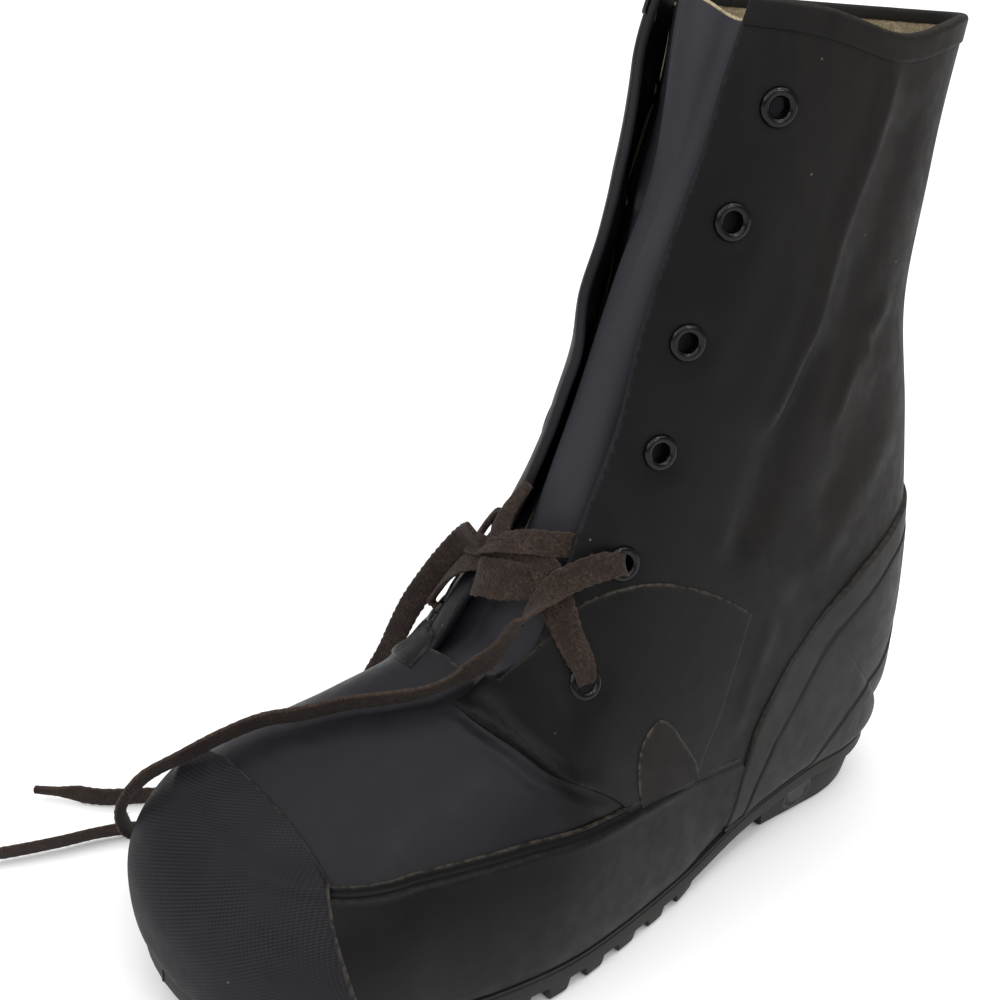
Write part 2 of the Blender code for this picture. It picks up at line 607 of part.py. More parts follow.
def band_fractions(side, station):
    """Fractions down the band, from its top edge to the feather line's height."""
    edge = fraction_where(side, station, 2, interpolate(FOXING_EDGE, station))
    return edge + (foot_of(side, station, BAND_SEAT + FOXING) - edge) * BAND_SHARES


def build_foxing(material, collection):
    """The proud band round the foot, from the feather line up."""
    stations = np.concatenate((toe_stations(), steps(0, FOXING_END, 9)[1:]))
    proud = np.where(BAND_SHARES > 0, 1, 0.55) * FOXING
    inner = both_sides(stations, band_fractions, lambda *_: np.full(len(BAND_SHARES), BAND_SEAT))
    outer = both_sides(stations, band_fractions, lambda *_: BAND_SEAT + proud)
    return shell("foxing", inner, outer, material, collection)


def build_toe_cap(material, collection):
    """The knurled cap over the toe, laid on the upper above the band and on the band below."""
    stations = toe_stations()[:-1]
    on_upper = 4

    def fraction_of(side, station):
        band = band_fractions(side, station)
        cap_edge = fraction_where(side, station, 1, CAP_EDGE_Y, low=0.0, high=AT_WIDEST)
        above = band[0] - 0.045
        cap_edge = min(cap_edge, above - 0.02)
        return np.concatenate((steps(cap_edge, above, on_upper - 1), [band[0] - 0.015], band[1:]))

    def seat(side, station, fractions):
        return np.where(np.arange(len(fractions)) < on_upper, CAP_ON_UPPER, CAP_ON_BAND)
    inner = both_sides(stations, fraction_of, seat)
    outer = both_sides(stations, fraction_of, lambda *key: seat(*key) + CAP)
    return shell("toe_cap", inner, outer, material, collection)


def counter_edge(side, station):
    """The fraction down the section where it crosses the heel counter's edge."""
    low, high = AT_GAP, 1.0
    for _ in range(24):
        middle = (low + high) / 2
        point = form(side, station, middle)
        if point[2] > interpolate(COUNTER_EDGE, point[1]):
            low = middle
        else:
            high = middle
    return low


def build_heel_counter(material, collection):
    """The proud piece round the back of the heel, up to the ankle."""
    stations = np.unique(np.concatenate((steps(COUNTER_FRONT, HEEL_SEAM - 1, 3),
                                         HEEL_SEAM - 1 + np.sin(steps(0, math.pi / 2, 5)),
                                         steps(HEEL_SEAM, COUNTER_TOP, 7))))
    shares = np.concatenate(([0], steps(0.05, 1, 10)))
    proud = np.where(shares > 0, 1, 0.5) * COUNTER
    bm = bmesh.new()
    skins = []
    for lift in (np.full(len(shares), COUNTER_SEAT), COUNTER_SEAT + proud):
        skin = {LATERAL: [], MEDIAL: []}
        for station in stations:
            for side in skin:
                edge = counter_edge(side, station)
                foot = foot_of(side, station, COUNTER_SEAT + COUNTER)
                line = lifted(side, station, edge + (foot - edge) * shares, lift)
                if station <= HEEL_SEAM:
                    line[:, 2] = np.maximum(line[:, 2], form(side, station, 1.0)[2])
                skin[side].append(line)
        skins.append([add_grid(bm, skin[side]) for side in skin])
    rows, columns = len(stations), len(shares)
    for k in (0, 1):
        low, high = skins[0][k], skins[1][k]
        rim = [(i, columns - 1) for i in range(rows) if stations[i] <= HEEL_SEAM][::-1]
        rim += [(0, j) for j in range(columns - 2, -1, -1)]
        rim += [(i, 0) for i in range(1, rows)]
        rim += [(rows - 1, j) for j in range(1, columns)]
        for (i, j), (m, n) in zip(rim, rim[1:]):
            bm.faces.new((low[i][j], high[i][j], high[m][n], low[m][n]))
    return add_object("heel_counter", mesh_from_bmesh("heel_counter", bm), material, collection)


def under_front(station, place, depth):
    """A point under the throat.  Behind the slack flap it is set back as the outer side's front is."""
    side = LATERAL if place >= 0 else MEDIAL
    own = normals(side, station, abs(place))
    level = side_normals(LATERAL, np.asarray(station, float), np.asarray(0.01))
    share = smooth_step(0.14, 0.29, abs(place)) if side == MEDIAL else smooth_step(0.0, 0.12, place)
    direction = level + (own - level) * share
    return form(side, station, abs(place)) - direction / np.linalg.norm(direction) * depth


def build_tongue(material, collection):
    """The tongue behind the throat, tucked under the vamp and behind both flaps."""
    stations = np.concatenate((steps(TONGUE_FRONT, 2.5, 3), steps(2.5, TONGUE_TOP, 12)[1:]))
    edge = TONGUE_DEPTHS[-1][0]
    places = np.concatenate((-steps(edge, 0, 7), steps(0, edge, 7)[1:]))

    def skin(extra):
        grid = []
        for station in stations:
            open_share = np.clip((station - 1.9) / 0.5, 0, 1)
            line = []
            for place in places:
                shallow = TONGUE_DEPTHS[-1][1]
                depth = shallow + (interpolate(TONGUE_DEPTHS, place) - shallow) * open_share
                line.append(under_front(station, place, depth + extra))
            grid.append(line)
        return grid
    return shell("tongue", skin(TONGUE), skin(0.0), material, collection)


def short_of(eyelet, target, distance):
    """A route point on the way from an eyelet to a target, `distance` clear of its centre."""
    eyelet, target = np.array(eyelet), np.array(target)
    apart = np.linalg.norm(off_front(*eyelet) - off_front(*target))
    return tuple(eyelet + (target - eyelet) * distance / apart)


def flat_lace(name, route, collection, count):
    """A flat strip along a route: six-sided section, its width square to the route."""
    route = smooth_route(route, count)
    centre = np.array([off_front(*row) for row in route])
    tangent = np.gradient(centre, axis=0)
    half, thick, bevel = LACE_WIDTH / 2, LACE_THICK / 2, 0.8
    section = ((-half, 0), (-half + bevel, thick), (half - bevel, thick), (half, 0), (half - bevel, -thick),
               (-half + bevel, -thick))
    bm = bmesh.new()
    rings = []
    for point, along, row in zip(centre, tangent, route):
        up = front_normal(row[0], row[1])
        across = np.cross(up, along)
        across /= np.linalg.norm(across)
        rings.append([bm.verts.new((point + across * a + up * b) * MM) for a, b in section])
    for ring, following in zip(rings, rings[1:]):
        for k in range(len(section)):
            m = (k + 1) % len(section)
            bm.faces.new((ring[k], ring[m], following[m], following[k]))
    bm.faces.new(rings[0][::-1])
    bm.faces.new(rings[-1])
    bmesh.ops.recalc_face_normals(bm, faces=bm.faces)
    mesh = bpy.data.meshes.new(name)
    bm.to_mesh(mesh)
    bm.free()
    strip = bpy.data.objects.new(name, mesh)
    collection.objects.link(strip)
    return strip


def build_lace_bars(material, collection, tools):
    """The lace's two crossings and its runs from the two lowest lateral eyelets, as one solid."""
    clear = EYELET_FLANGE / 2 + 1.4
    lowest, second = [(*place, 1.7) for place in eyelet_stations(LATERAL)[:2]]
    runs = {
        "lace_from_lowest": (short_of(lowest, KNOT_PLACE, clear), KNOT_PLACE, *LOWER_BAR),
        "lace_from_second": (short_of(second, KNOT_PLACE, clear + 2.0), (4.75, 0.265, 1.9), KNOT_PLACE_OVER),
    }
    bars = flat_lace("lace_bars", UPPER_BAR, collection, 12)
    bars.data.materials.append(material)
    for name, route in runs.items():
        strip = flat_lace(name, route, tools, 14)
        strip.hide_render = True
        strip.display_type = "WIRE"
        join = bars.modifiers.new(name, "BOOLEAN")
        join.operation = "UNION"
        join.solver = "EXACT"
        join.object = strip
    return bars


def build_lace_knot(material, collection):
    """The half knot where the two runs meet, standing just clear of the bars under it."""
    knot = bmesh.new()
    bmesh.ops.create_uvsphere(knot, u_segments=12, v_segments=7, radius=1.0)
    for vert in knot.verts:
        vert.co = Vector((vert.co.x * KNOT_LENGTH / 2, vert.co.y * KNOT_WIDTH / 2,
                          vert.co.z * KNOT_HEIGHT / 2)) * MM
    item = add_object("lace_knot", mesh_from_bmesh("lace_knot", knot), material, collection)
    middle = off_front(*KNOT_ON_ROUTE)
    up = Vector(front_normal(*KNOT_ON_ROUTE[:2]))
    along = Vector(off_front(*LONG_END[0]) - middle).normalized()
    across = up.cross(along).normalized()
    turn = Matrix((along, across, along.cross(across))).transposed().to_4x4()
    item.matrix_world = Matrix.Translation(Vector(middle) * MM) @ turn


def build_lace_end(name, points, count, material, collection):
    """A round tube of the lace's width along a smooth route, evenly stepped."""
    route = smooth_route(points, 200)
    length = np.concatenate(([0], np.cumsum(np.linalg.norm(np.diff(route, axis=0), axis=1))))
    even = [np.interp(steps(0, length[-1], count), length, route[:, axis]) for axis in range(3)]
    curve = bpy.data.curves.new(name, "CURVE")
    curve.dimensions = "3D"
    curve.bevel_depth = LACE_WIDTH / 2 * MM
    curve.bevel_resolution = 2
    curve.use_fill_caps = True
    spline = curve.splines.new("POLY")
    spline.points.add(count)
    for point, place in zip(spline.points, zip(*even)):
        point.co = (*(value * MM for value in place), 1.0)
    curve.materials.append(material)
    collection.objects.link(bpy.data.objects.new(name, curve))


def build_lace_ends(material, collection):
    """Both ends of the lace: over the boot first, then along the floor."""
    knot, first = off_front(*KNOT_ON_ROUTE), off_front(*LONG_END[0])
    start = knot + (first - knot) / np.linalg.norm(first - knot) * (KNOT_LENGTH / 2 + 2 * GAP)
    long_end = [start] + [off_front(*row) for row in LONG_END] + list(LONG_END_FLOOR)
    build_lace_end("lace_end_long", long_end, 22, material, collection)
    short_end = [off_front(*row) for row in SHORT_END] + list(SHORT_END_FLOOR)
    build_lace_end("lace_end_short", short_end, 19, material, collection)


def move_to_frame(*collections):
    """Puts the middle of the boot's box over the origin."""
    for collection in collections:
        for item in collection.objects:
            item.location += Vector(FRAME_SHIFT) * MM


def main():
    clear_scene()
    boot = new_collection("bunny_boot")
    tools = new_collection("cutters")
    rubber = finish("black rubber", (0.016, 0.016, 0.019), 0.55)
    sole_rubber = finish("sole rubber", (0.02, 0.02, 0.02), 0.7)
    metal = finish("black enamel", (0.01, 0.01, 0.01), 0.2, 0.3)
    board = finish("felt", (0.22, 0.17, 0.1), 0.9)
    cotton = finish("brown cotton", (0.03, 0.022, 0.019), 0.95)
    build_upper(rubber, boot, tools)
    build_outsole(sole_rubber, boot)
    build_heel(sole_rubber, boot)
    build_insole(board, boot)
    build_foxing(rubber, boot)
    build_toe_cap(rubber, boot)
    build_heel_counter(rubber, boot)
    build_eyelets(metal, boot)
    build_tongue(rubber, boot)
    build_lace_bars(cotton, boot, tools)
    build_lace_knot(cotton, boot)
    build_lace_ends(cotton, boot)
    move_to_frame(boot, tools)


main()
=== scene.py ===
"""Looks of a left insulated rubber boot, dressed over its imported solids.

Frame: metres, +Z up, floor at z = 0, toe towards -Y, outer (lateral) side towards +X.
Every piece that follows the foot is lifted off one form, Last, which repeats the boot's own
section table.  Sizes inside the classes are millimetres in the last's own lines, and the mesh
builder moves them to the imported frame, in metres.
"""

import logging
import math
from dataclasses import dataclass, field
from enum import Enum
from functools import cache, partial
from typing import Callable, ClassVar, Iterable, Iterator, Sequence

import bmesh
import bpy
import numpy as np
from mathutils import Matrix, Vector, geometry


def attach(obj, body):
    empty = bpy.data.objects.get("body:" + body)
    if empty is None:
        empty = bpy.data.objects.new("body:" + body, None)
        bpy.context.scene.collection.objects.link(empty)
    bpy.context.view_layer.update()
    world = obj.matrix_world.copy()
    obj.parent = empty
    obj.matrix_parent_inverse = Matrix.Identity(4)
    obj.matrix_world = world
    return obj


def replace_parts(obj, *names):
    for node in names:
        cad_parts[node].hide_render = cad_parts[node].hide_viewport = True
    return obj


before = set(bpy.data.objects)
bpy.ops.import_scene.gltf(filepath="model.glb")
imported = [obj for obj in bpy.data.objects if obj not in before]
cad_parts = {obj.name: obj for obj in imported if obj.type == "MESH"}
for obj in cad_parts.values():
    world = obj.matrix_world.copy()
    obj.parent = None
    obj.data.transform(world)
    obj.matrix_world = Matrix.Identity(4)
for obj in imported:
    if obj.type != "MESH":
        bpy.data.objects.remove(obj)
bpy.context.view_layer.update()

log = logging.getLogger("boot")

Array = np.ndarray
Point = tuple[float, float, float]
MM = 0.001
SHIFT = np.array((-1.0, -4.1, 0.0))    # from the last's own lines to the middle of the boot's box
TOE, HEEL_SEAM, THROAT_BASE, COLLAR = -1.0, 7.0, 2.0, 13.0    # stations
AT_GAP, AT_WIDEST = 0.2, 0.68          # fractions: the flaps' edges, the widest line


class Side(Enum):
    """The two halves of the boot."""
    LATERAL = 1
    MEDIAL = -1


class Slot(Enum):
    """The record's material slots."""
    RUBBER = "rubber"
    SOLE = "sole_rubber"
    EYELET = "eyelet"
    BOARD = "board"
    LACE = "lace"


L, M = Side.LATERAL, Side.MEDIAL
BOTH = (L, M)
MARKS = ("patina", "vamp", "raw")      # what the moulded rubber reads from a piece's points


# ---- small mathematics ------------------------------------------------------------------
def smooth(low: float, high: float, value: Array | float) -> Array:
    """An S-shaped step from 0 at low to 1 at high."""
    t = np.clip((np.asarray(value, float) - low) / (high - low), 0, 1)
    return t * t * (3 - 2 * t)


def between(four: Sequence[Array], share: Array) -> Array:
    """The smooth curve between the middle two of four neighbours, a share of the way."""
    a, b, c, d = four
    return 0.5 * (2 * b + (c - a) * share + (2 * a - 5 * b + 4 * c - d) * share ** 2
                  + (3 * b - 3 * c + d - a) * share ** 3)


def catmull(points: Sequence, count: int) -> Array:
    """A smooth curve through points.

    Args:
        points: Rows of any width, two or more.
        count: Number of steps spread evenly over the rows.

    Returns:
        count + 1 rows.
    """
    rows = np.array(points, float)
    rows = np.vstack((2 * rows[0] - rows[1], rows, 2 * rows[-1] - rows[-2]))
    value = np.linspace(0, len(rows) - 3, count + 1)
    index = np.clip(value.astype(int), 0, len(rows) - 4)
    return between([rows[index + k] for k in range(4)], (value - index)[:, None])


def unit(vectors: Array) -> Array:
    """Each row scaled to length 1."""
    return vectors / np.maximum(np.linalg.norm(vectors, axis=-1, keepdims=True), 1e-9)


def arc(points: Array) -> Array:
    """Distance along a line of points, starting at 0."""
    return np.concatenate(([0.0], np.cumsum(np.linalg.norm(np.diff(points, axis=0), axis=1))))


def respaced(rows: Array, along: Array, places: Array) -> Array:
    """Rows known at rising distances along, read at other places."""
    return np.stack([np.interp(places, along, column) for column in rows.T], -1)


def resampled(points: Array, step: float) -> Array:
    """A line of points respaced evenly, about `step` apart.

    Args:
        points: The line.
        step: About how far apart the new points lie.

    Returns:
        The new line, both ends kept.
    """
    along = arc(points)
    count = max(2, int(round(along[-1] / step)) + 1)
    return respaced(points, along, np.linspace(0, along[-1], count))


def hashed(*keys: Array | float) -> Array:
    """Repeatable values from 0 to 1, one for each row of keys."""
    total = sum(np.asarray(key, float) * factor for key, factor in zip(keys, (12.9898, 78.233, 37.719)))
    return np.modf(np.abs(np.sin(total) * 43758.5453))[0]


def to_frame(points: Array) -> Array:
    """Millimetres in the last's lines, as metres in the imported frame."""
    return (np.asarray(points, float) + SHIFT) * MM


# ---- the form ---------------------------------------------------------------------------
class Last:
    """The boot's outer form: a surface over a station along it and a fraction down it."""

    COLUMNS = ("base_y", "base_z", "top_y", "top_z", "top_x", "gap_lat", "gap_med",
               "lateral", "medial", "tuck", "widest", "full_top", "full_low")
    ROWS = {
        "toe":         (-98, 19, -98, 82, -3.0, 14, 14, 55, 57, 4.0, 0.34, 2.35, 2.0),
        "ball":        (-70, 16, -72, 90, -2.5, 14, 14, 58, 56, 4.0, 0.31, 2.25, 2.0),
        "throat_base": (-42, 14, -51, 101, -1.0, 16, 13, 59, 51, 4.0, 0.29, 2.15, 2.0),
        "instep":      (-14, 13, -44, 120, 2.0, 25, 10, 56, 48, 4.0, 0.28, 2.10, 2.0),
        "waist":       (20, 14, -37, 140, 4.0, 23, 8, 51, 46, 4.5, 0.26, 2.15, 2.1),
        "shank":       (60, 21, -31, 160, 5.5, 21, 7, 48, 45, 6.0, 0.28, 2.20, 2.2),
        "heel_seat":   (105, 26, -25, 180, 6.5, 20, 6, 46, 43, 7.0, 0.32, 2.25, 2.4),
        "heel_end":    (156, 26, -19, 199, 7.0, 19, 6, 45, 43, 7.0, 0.36, 2.30, 2.7),
        "heel_cup":    (161, 58, -13, 216, 7.0, 19, 6, 47, 44, 7.0, 0.40, 2.35, 2.7),
        "ankle":       (159, 103, -7, 234, 7.0, 19, 6, 46.5, 43, 7.0, 0.44, 2.35, 2.6),
        "over_ankle":  (149, 155, 0, 252, 7.0, 19, 6, 45, 45, 7.0, 0.47, 2.35, 2.5),
        "small":       (134, 205, 6, 270, 7.0, 20, 7, 44, 44, 7.0, 0.48, 2.35, 2.4),
        "shaft":       (133, 255, 12, 289, 6.0, 21, 9, 45.5, 45, 7.0, 0.49, 2.35, 2.4),
        "collar":      (134, 305, 18, 308, 5.0, 23, 11, 48, 48, 7.0, 0.50, 2.35, 2.4),
    }
    TIP_X, TIP_Y, TIP_BASE, TOE_ROUND = -8.0, -153.0, 22.0, 2.25
    HEEL_CURVE, HEEL_ROUND, HEEL_HALF = 46.0, 2.3, 39.0
    SLACK_BACK, SLACK_SIDE, SLACK_AT_EDGE, SLACK_AT_COLLAR = 12.0, 3.6, 0.35, 0.8

    def __init__(self) -> None:
        """Keeps the table and a coarse grid of each side, used to find places on it."""
        self.table = np.array(list(self.ROWS.values()), float)
        self.search = (np.linspace(TOE, COLLAR, 351), np.linspace(0, 1, 101))
        self.grids = {side: self.form(side, self.search[0][:, None], self.search[1][None, :]) for side in BOTH}

    def rows(self, station: Array) -> dict[str, Array]:
        """Every column of the table at the given stations, by a smooth curve through its rows.

        Args:
            station: Stations from 0 up.

        Returns:
            Each column of the table, in the stations' shape.
        """
        table = self.table
        before = table[1].copy()
        before[:4] = 2 * table[0, :4] - table[1, :4]
        table = np.vstack((before, table, 2 * table[-1] - table[-2]))
        index = np.clip(np.floor(station).astype(int), 0, len(self.table) - 2)
        value = between([table[index + k] for k in range(4)], (station - index)[..., None])
        value[..., 1] = np.maximum(value[..., 1], np.minimum(table[index + 1], table[index + 2])[..., 1])
        return dict(zip(self.COLUMNS, np.moveaxis(value, -1, 0)))

    def form(self, side: Side, station: Array | float, fraction: Array | float) -> Array:
        """Points of the outer form on one side.

        Args:
            side: Lateral or medial.
            station: -1 at the toe's tip, 7 at the end of the heel, 13 at the collar.
            fraction: 0 on the front line, 1 on the feather line or the back seam.

        Returns:
            Points in millimetres, of the arguments' common shape.
        """
        station, fraction = np.broadcast_arrays(np.asarray(station, float), np.asarray(fraction, float))
        sign = side.value
        row = self.rows(np.maximum(station, 0))
        widest, gap = ((row["lateral"], row["gap_lat"]) if side is Side.LATERAL
                       else (row["medial"], row["gap_med"]))
        share = np.clip((row["base_y"] - self.ROWS["heel_end"][0] + self.HEEL_CURVE) / self.HEEL_CURVE, 0, 1)
        rounded = (np.maximum(self.HEEL_HALF, widest - row["tuck"])
                   * (1 - share ** self.HEEL_ROUND) ** (1 / self.HEEL_ROUND))
        edge = np.where(station >= HEEL_SEAM, 0.0, np.minimum(widest - row["tuck"], rounded))
        wide_y = row["base_y"] + (row["top_y"] - row["base_y"]) * row["widest"]
        wide_z = row["base_z"] + (row["top_z"] - row["base_z"]) * row["widest"]
        top = np.stack((row["top_x"], row["top_y"], row["top_z"]), -1)
        base = np.stack((sign * edge, row["base_y"], row["base_z"]), -1)
        wide = np.stack((sign * widest, wide_y, wide_z), -1)
        front_core = np.stack((row["top_x"], wide_y, wide_z), -1)

        # Ahead of the first section the planes turn about an upright axis through the toe.
        turn = np.clip(-station, 0, 1) * math.pi / 2
        reach = self.ROWS["toe"][2] - self.TIP_Y
        swing = (self.TIP_X - row["top_x"]) * np.sin(turn) ** 1.6 + row["top_x"]
        out_x = (sign * widest - row["top_x"]) * np.cos(turn) ** (2 / self.TOE_ROUND)
        out_y = -reach * np.sin(turn) ** (2 / self.TOE_ROUND)
        keep = 1 - row["tuck"] / np.hypot(out_x, out_y)
        base_z = row["base_z"] + (self.TIP_BASE - row["base_z"]) * np.sin(turn) ** 2
        slope = (self.ROWS["ball"][3] - self.ROWS["toe"][3]) / (self.ROWS["ball"][2] - self.ROWS["toe"][2])
        toe = (station < 0)[..., None]
        top_y = self.ROWS["toe"][2]
        wide = np.where(toe, np.stack((swing + out_x, top_y + out_y, wide_z), -1), wide)
        base = np.where(toe, np.stack((swing + out_x * keep, top_y + out_y * keep, base_z), -1), base)
        front_core = np.where(toe, np.stack((row["top_x"], np.full_like(turn, top_y),
                                             wide_z + slope * reach * np.sin(turn)), -1), front_core)
        low_core = base.copy()
        low_core[..., 1:] = wide[..., 1:]
        low_core = np.where(toe, np.stack((base[..., 0], base[..., 1], wide[..., 2]), -1), low_core)

        across = np.abs(sign * widest - row["top_x"])
        gap_angle = np.arccos(np.clip(gap / across, 0.02, 0.98) ** (row["full_top"] / 2))
        angle = np.where(fraction <= AT_GAP,
                         math.pi / 2 + (gap_angle - math.pi / 2) * fraction / AT_GAP,
                         gap_angle * (1 - (fraction - AT_GAP) / (AT_WIDEST - AT_GAP)))
        angle = np.clip(angle, 0, math.pi / 2)
        out = (np.cos(angle) ** (2 / row["full_top"]))[..., None]
        up = (np.sin(angle) ** (2 / row["full_top"]))[..., None]
        upper_part = front_core + (wide - front_core) * out + (top - front_core) * up
        sweep = np.clip((fraction - AT_WIDEST) / (1 - AT_WIDEST), 0, 1) * math.pi / 2
        out = (np.maximum(np.cos(sweep), 0) ** (2 / row["full_low"]))[..., None]
        down = (np.sin(sweep) ** (2 / row["full_low"]))[..., None]
        lower_part = low_core + (wide - low_core) * out + (base - low_core) * down
        points = np.where((fraction <= AT_WIDEST)[..., None], upper_part, lower_part)
        return points + self.slack(station, fraction) if side is Side.MEDIAL else points

    def slack(self, station: Array, fraction: Array) -> Array:
        """How far the slack inner flap is pressed back from the closed form.

        Args:
            station: Stations along the form.
            fraction: Fractions down it.

        Returns:
            Offsets in millimetres.
        """
        up = smooth(2.0, 6.0, station) * (1 - (1 - self.SLACK_AT_COLLAR) * smooth(10.5, COLLAR, station))
        across = (self.SLACK_AT_EDGE * smooth(0.0, AT_GAP, fraction)
                  + (1 - self.SLACK_AT_EDGE) * smooth(AT_GAP - 0.02, AT_GAP + 0.11, fraction))
        share = up * across * (1 - smooth(AT_GAP + 0.14, AT_WIDEST - 0.06, fraction))
        return np.stack((self.SLACK_SIDE * share, self.SLACK_BACK * share, 0 * share), -1)

    def slopes(self, side: Side, station: Array, fraction: Array) -> tuple[Array, Array]:
        """How far the form's point moves for one station along and one fraction down.

        Args:
            side: Lateral or medial.
            station: Stations along the form.
            fraction: Fractions down it.

        Returns:
            Millimetres for each station, and for each whole fraction.
        """
        step = 0.004
        before, after = np.maximum(station - step, TOE), np.minimum(station + step, COLLAR)
        inside = np.clip(fraction, 0.002, 0.998)
        above, below = np.maximum(fraction - step, 0.002), np.minimum(fraction + step, 0.998)
        along = (self.form(side, after, inside) - self.form(side, before, inside)) / (after - before)[..., None]
        down = (self.form(side, station, below) - self.form(side, station, above)) / (below - above)[..., None]
        return along, down

    def one_side(self, side: Side, station: Array, fraction: Array) -> Array:
        """Outward unit normals of one side alone."""
        along, down = self.slopes(side, station, fraction)
        return unit(np.cross(down, along) * side.value)

    def normals(self, side: Side, station: Array | float, fraction: Array | float) -> Array:
        """Outward unit normals, shared by the two sides at the front line and the back seam.

        Args:
            side: Lateral or medial.
            station: Stations along the form.
            fraction: Fractions down it.

        Returns:
            Unit vectors of the arguments' common shape.
        """
        station, fraction = np.broadcast_arrays(np.asarray(station, float), np.asarray(fraction, float))
        own = self.one_side(side, station, fraction)
        other = Side.MEDIAL if side is Side.LATERAL else Side.LATERAL
        shared = unit(own + self.one_side(other, station, fraction))
        near_back = smooth(0.93, 1.0, fraction) * (station >= HEEL_SEAM)
        near_front = 1 - smooth(0.0, 0.06, fraction)
        weight = np.maximum(near_back, near_front)[..., None]
        return unit(own * (1 - weight) + shared * weight)

    def lifted(self, side: Side, station: Array | float, fraction: Array | float, lift: Array | float) -> Array:
        """The form moved outwards along its normals, in millimetres."""
        return (self.form(side, station, fraction)
                + self.normals(side, station, fraction) * np.asarray(lift, float)[..., None])

    def locate(self, side: Side, points: Sequence) -> Array:
        """Station and fraction of the place on the form nearest to each point.

        Args:
            side: Lateral or medial.
            points: Rows of points, in millimetres.

        Returns:
            A row of station and fraction for each point.
        """
        points = np.atleast_2d(np.array(points, float))
        stations, fractions = self.search
        grid = self.grids[side]
        found = []
        for point in points:
            i, j = np.unravel_index(np.argmin(((grid - point) ** 2).sum(-1)), grid.shape[:2])
            found.append((stations[i], fractions[j]))
        place = np.array(found)
        for _ in range(3):
            place += self.moved(side, place, points - self.form(side, place[:, 0], place[:, 1]))
            place = np.clip(place, (TOE, 0.0), (COLLAR, 1.0))
        return place

    def moved(self, side: Side, place: Array, step: Array) -> Array:
        """Change of station and fraction that moves each place by a step in millimetres.

        Args:
            side: Lateral or medial.
            place: Rows of station and fraction.
            step: Rows of millimetres.

        Returns:
            Rows of station and fraction to add.
        """
        along, down = self.slopes(side, place[:, 0], place[:, 1])
        aa, ab, bb = (along * along).sum(-1), (along * down).sum(-1), (down * down).sum(-1)
        pa, pb = (along * step).sum(-1), (down * step).sum(-1)
        det = np.maximum(aa * bb - ab * ab, 1e-6)
        return np.stack(((pa * bb - pb * ab) / det, (pb * aa - pa * ab) / det), -1)

    def fraction_at(self, side: Side, station: float, axis: int, value: float,
                    low: float = AT_GAP, high: float = 1.0) -> float:
        """The fraction down a section where the form's coordinate equals a value.

        Args:
            side: Lateral or medial.
            station: The section.
            axis: The coordinate, 0 to 2.
            value: What it equals there.
            low: Where the search starts.
            high: Where it ends.

        Returns:
            The fraction, or high where there is none.
        """
        fractions = np.linspace(low, high, 400)
        line = self.form(side, np.full(400, station), fractions)[:, axis]
        crossing = np.nonzero(np.diff(np.sign(line - value)))[0]
        if not len(crossing):
            return high
        k = crossing[0]
        share = (value - line[k]) / (line[k + 1] - line[k])
        return float(fractions[k] + share * (fractions[k + 1] - fractions[k]))

    def foot(self, side: Side, station: float, lift: float) -> float:
        """The fraction at which a skin lifted off the form comes down to the feather line.

        Args:
            side: Lateral or medial.
            station: The section.
            lift: How far the skin stands off, in millimetres.

        Returns:
            The fraction.
        """
        if station >= HEEL_SEAM:
            return 1.0
        floor_z = float(self.form(side, station, 1.0)[2])
        fractions = np.linspace(AT_WIDEST, 1.0, 160)
        above = self.lifted(side, np.full(160, station), fractions, lift)[:, 2] > floor_z
        return float(fractions[np.nonzero(above)[0][-1]])

    def eyelets(self, side: Side) -> list[tuple[float, float]]:
        """Station and fraction of each eyelet: a set distance behind the flap's edge.

        Args:
            side: Lateral or medial.

        Returns:
            Six places, from the lowest up.
        """
        places = []
        for height, inset in ((106, 23), (141, 20), (175, 18), (210, 16), (246, 16), (279, 18)):
            station, fraction = THROAT_BASE + 0.3, AT_GAP
            for _ in range(12):
                trial = np.linspace(AT_GAP, AT_WIDEST, 60)
                along = arc(self.form(side, station, trial))
                fraction = float(np.interp(inset, along, trial))
                here = self.form(side, station, fraction)[2]
                ahead = self.form(side, station + 0.05, fraction)[2]
                station += (height - here) / max((ahead - here) / 0.05, 1.0)
                station = float(np.clip(station, THROAT_BASE, COLLAR))
            places.append((station, fraction))
        return places


# ---- folds, dents and the lie of the rubber ---------------------------------------------
@dataclass(frozen=True)
class Crease:
    """A soft ridge (height above 0) or trough (below 0) along a line on one side."""
    side: Side
    points: tuple[Point, ...]
    height: float
    width: float
    ends: float = 0.22


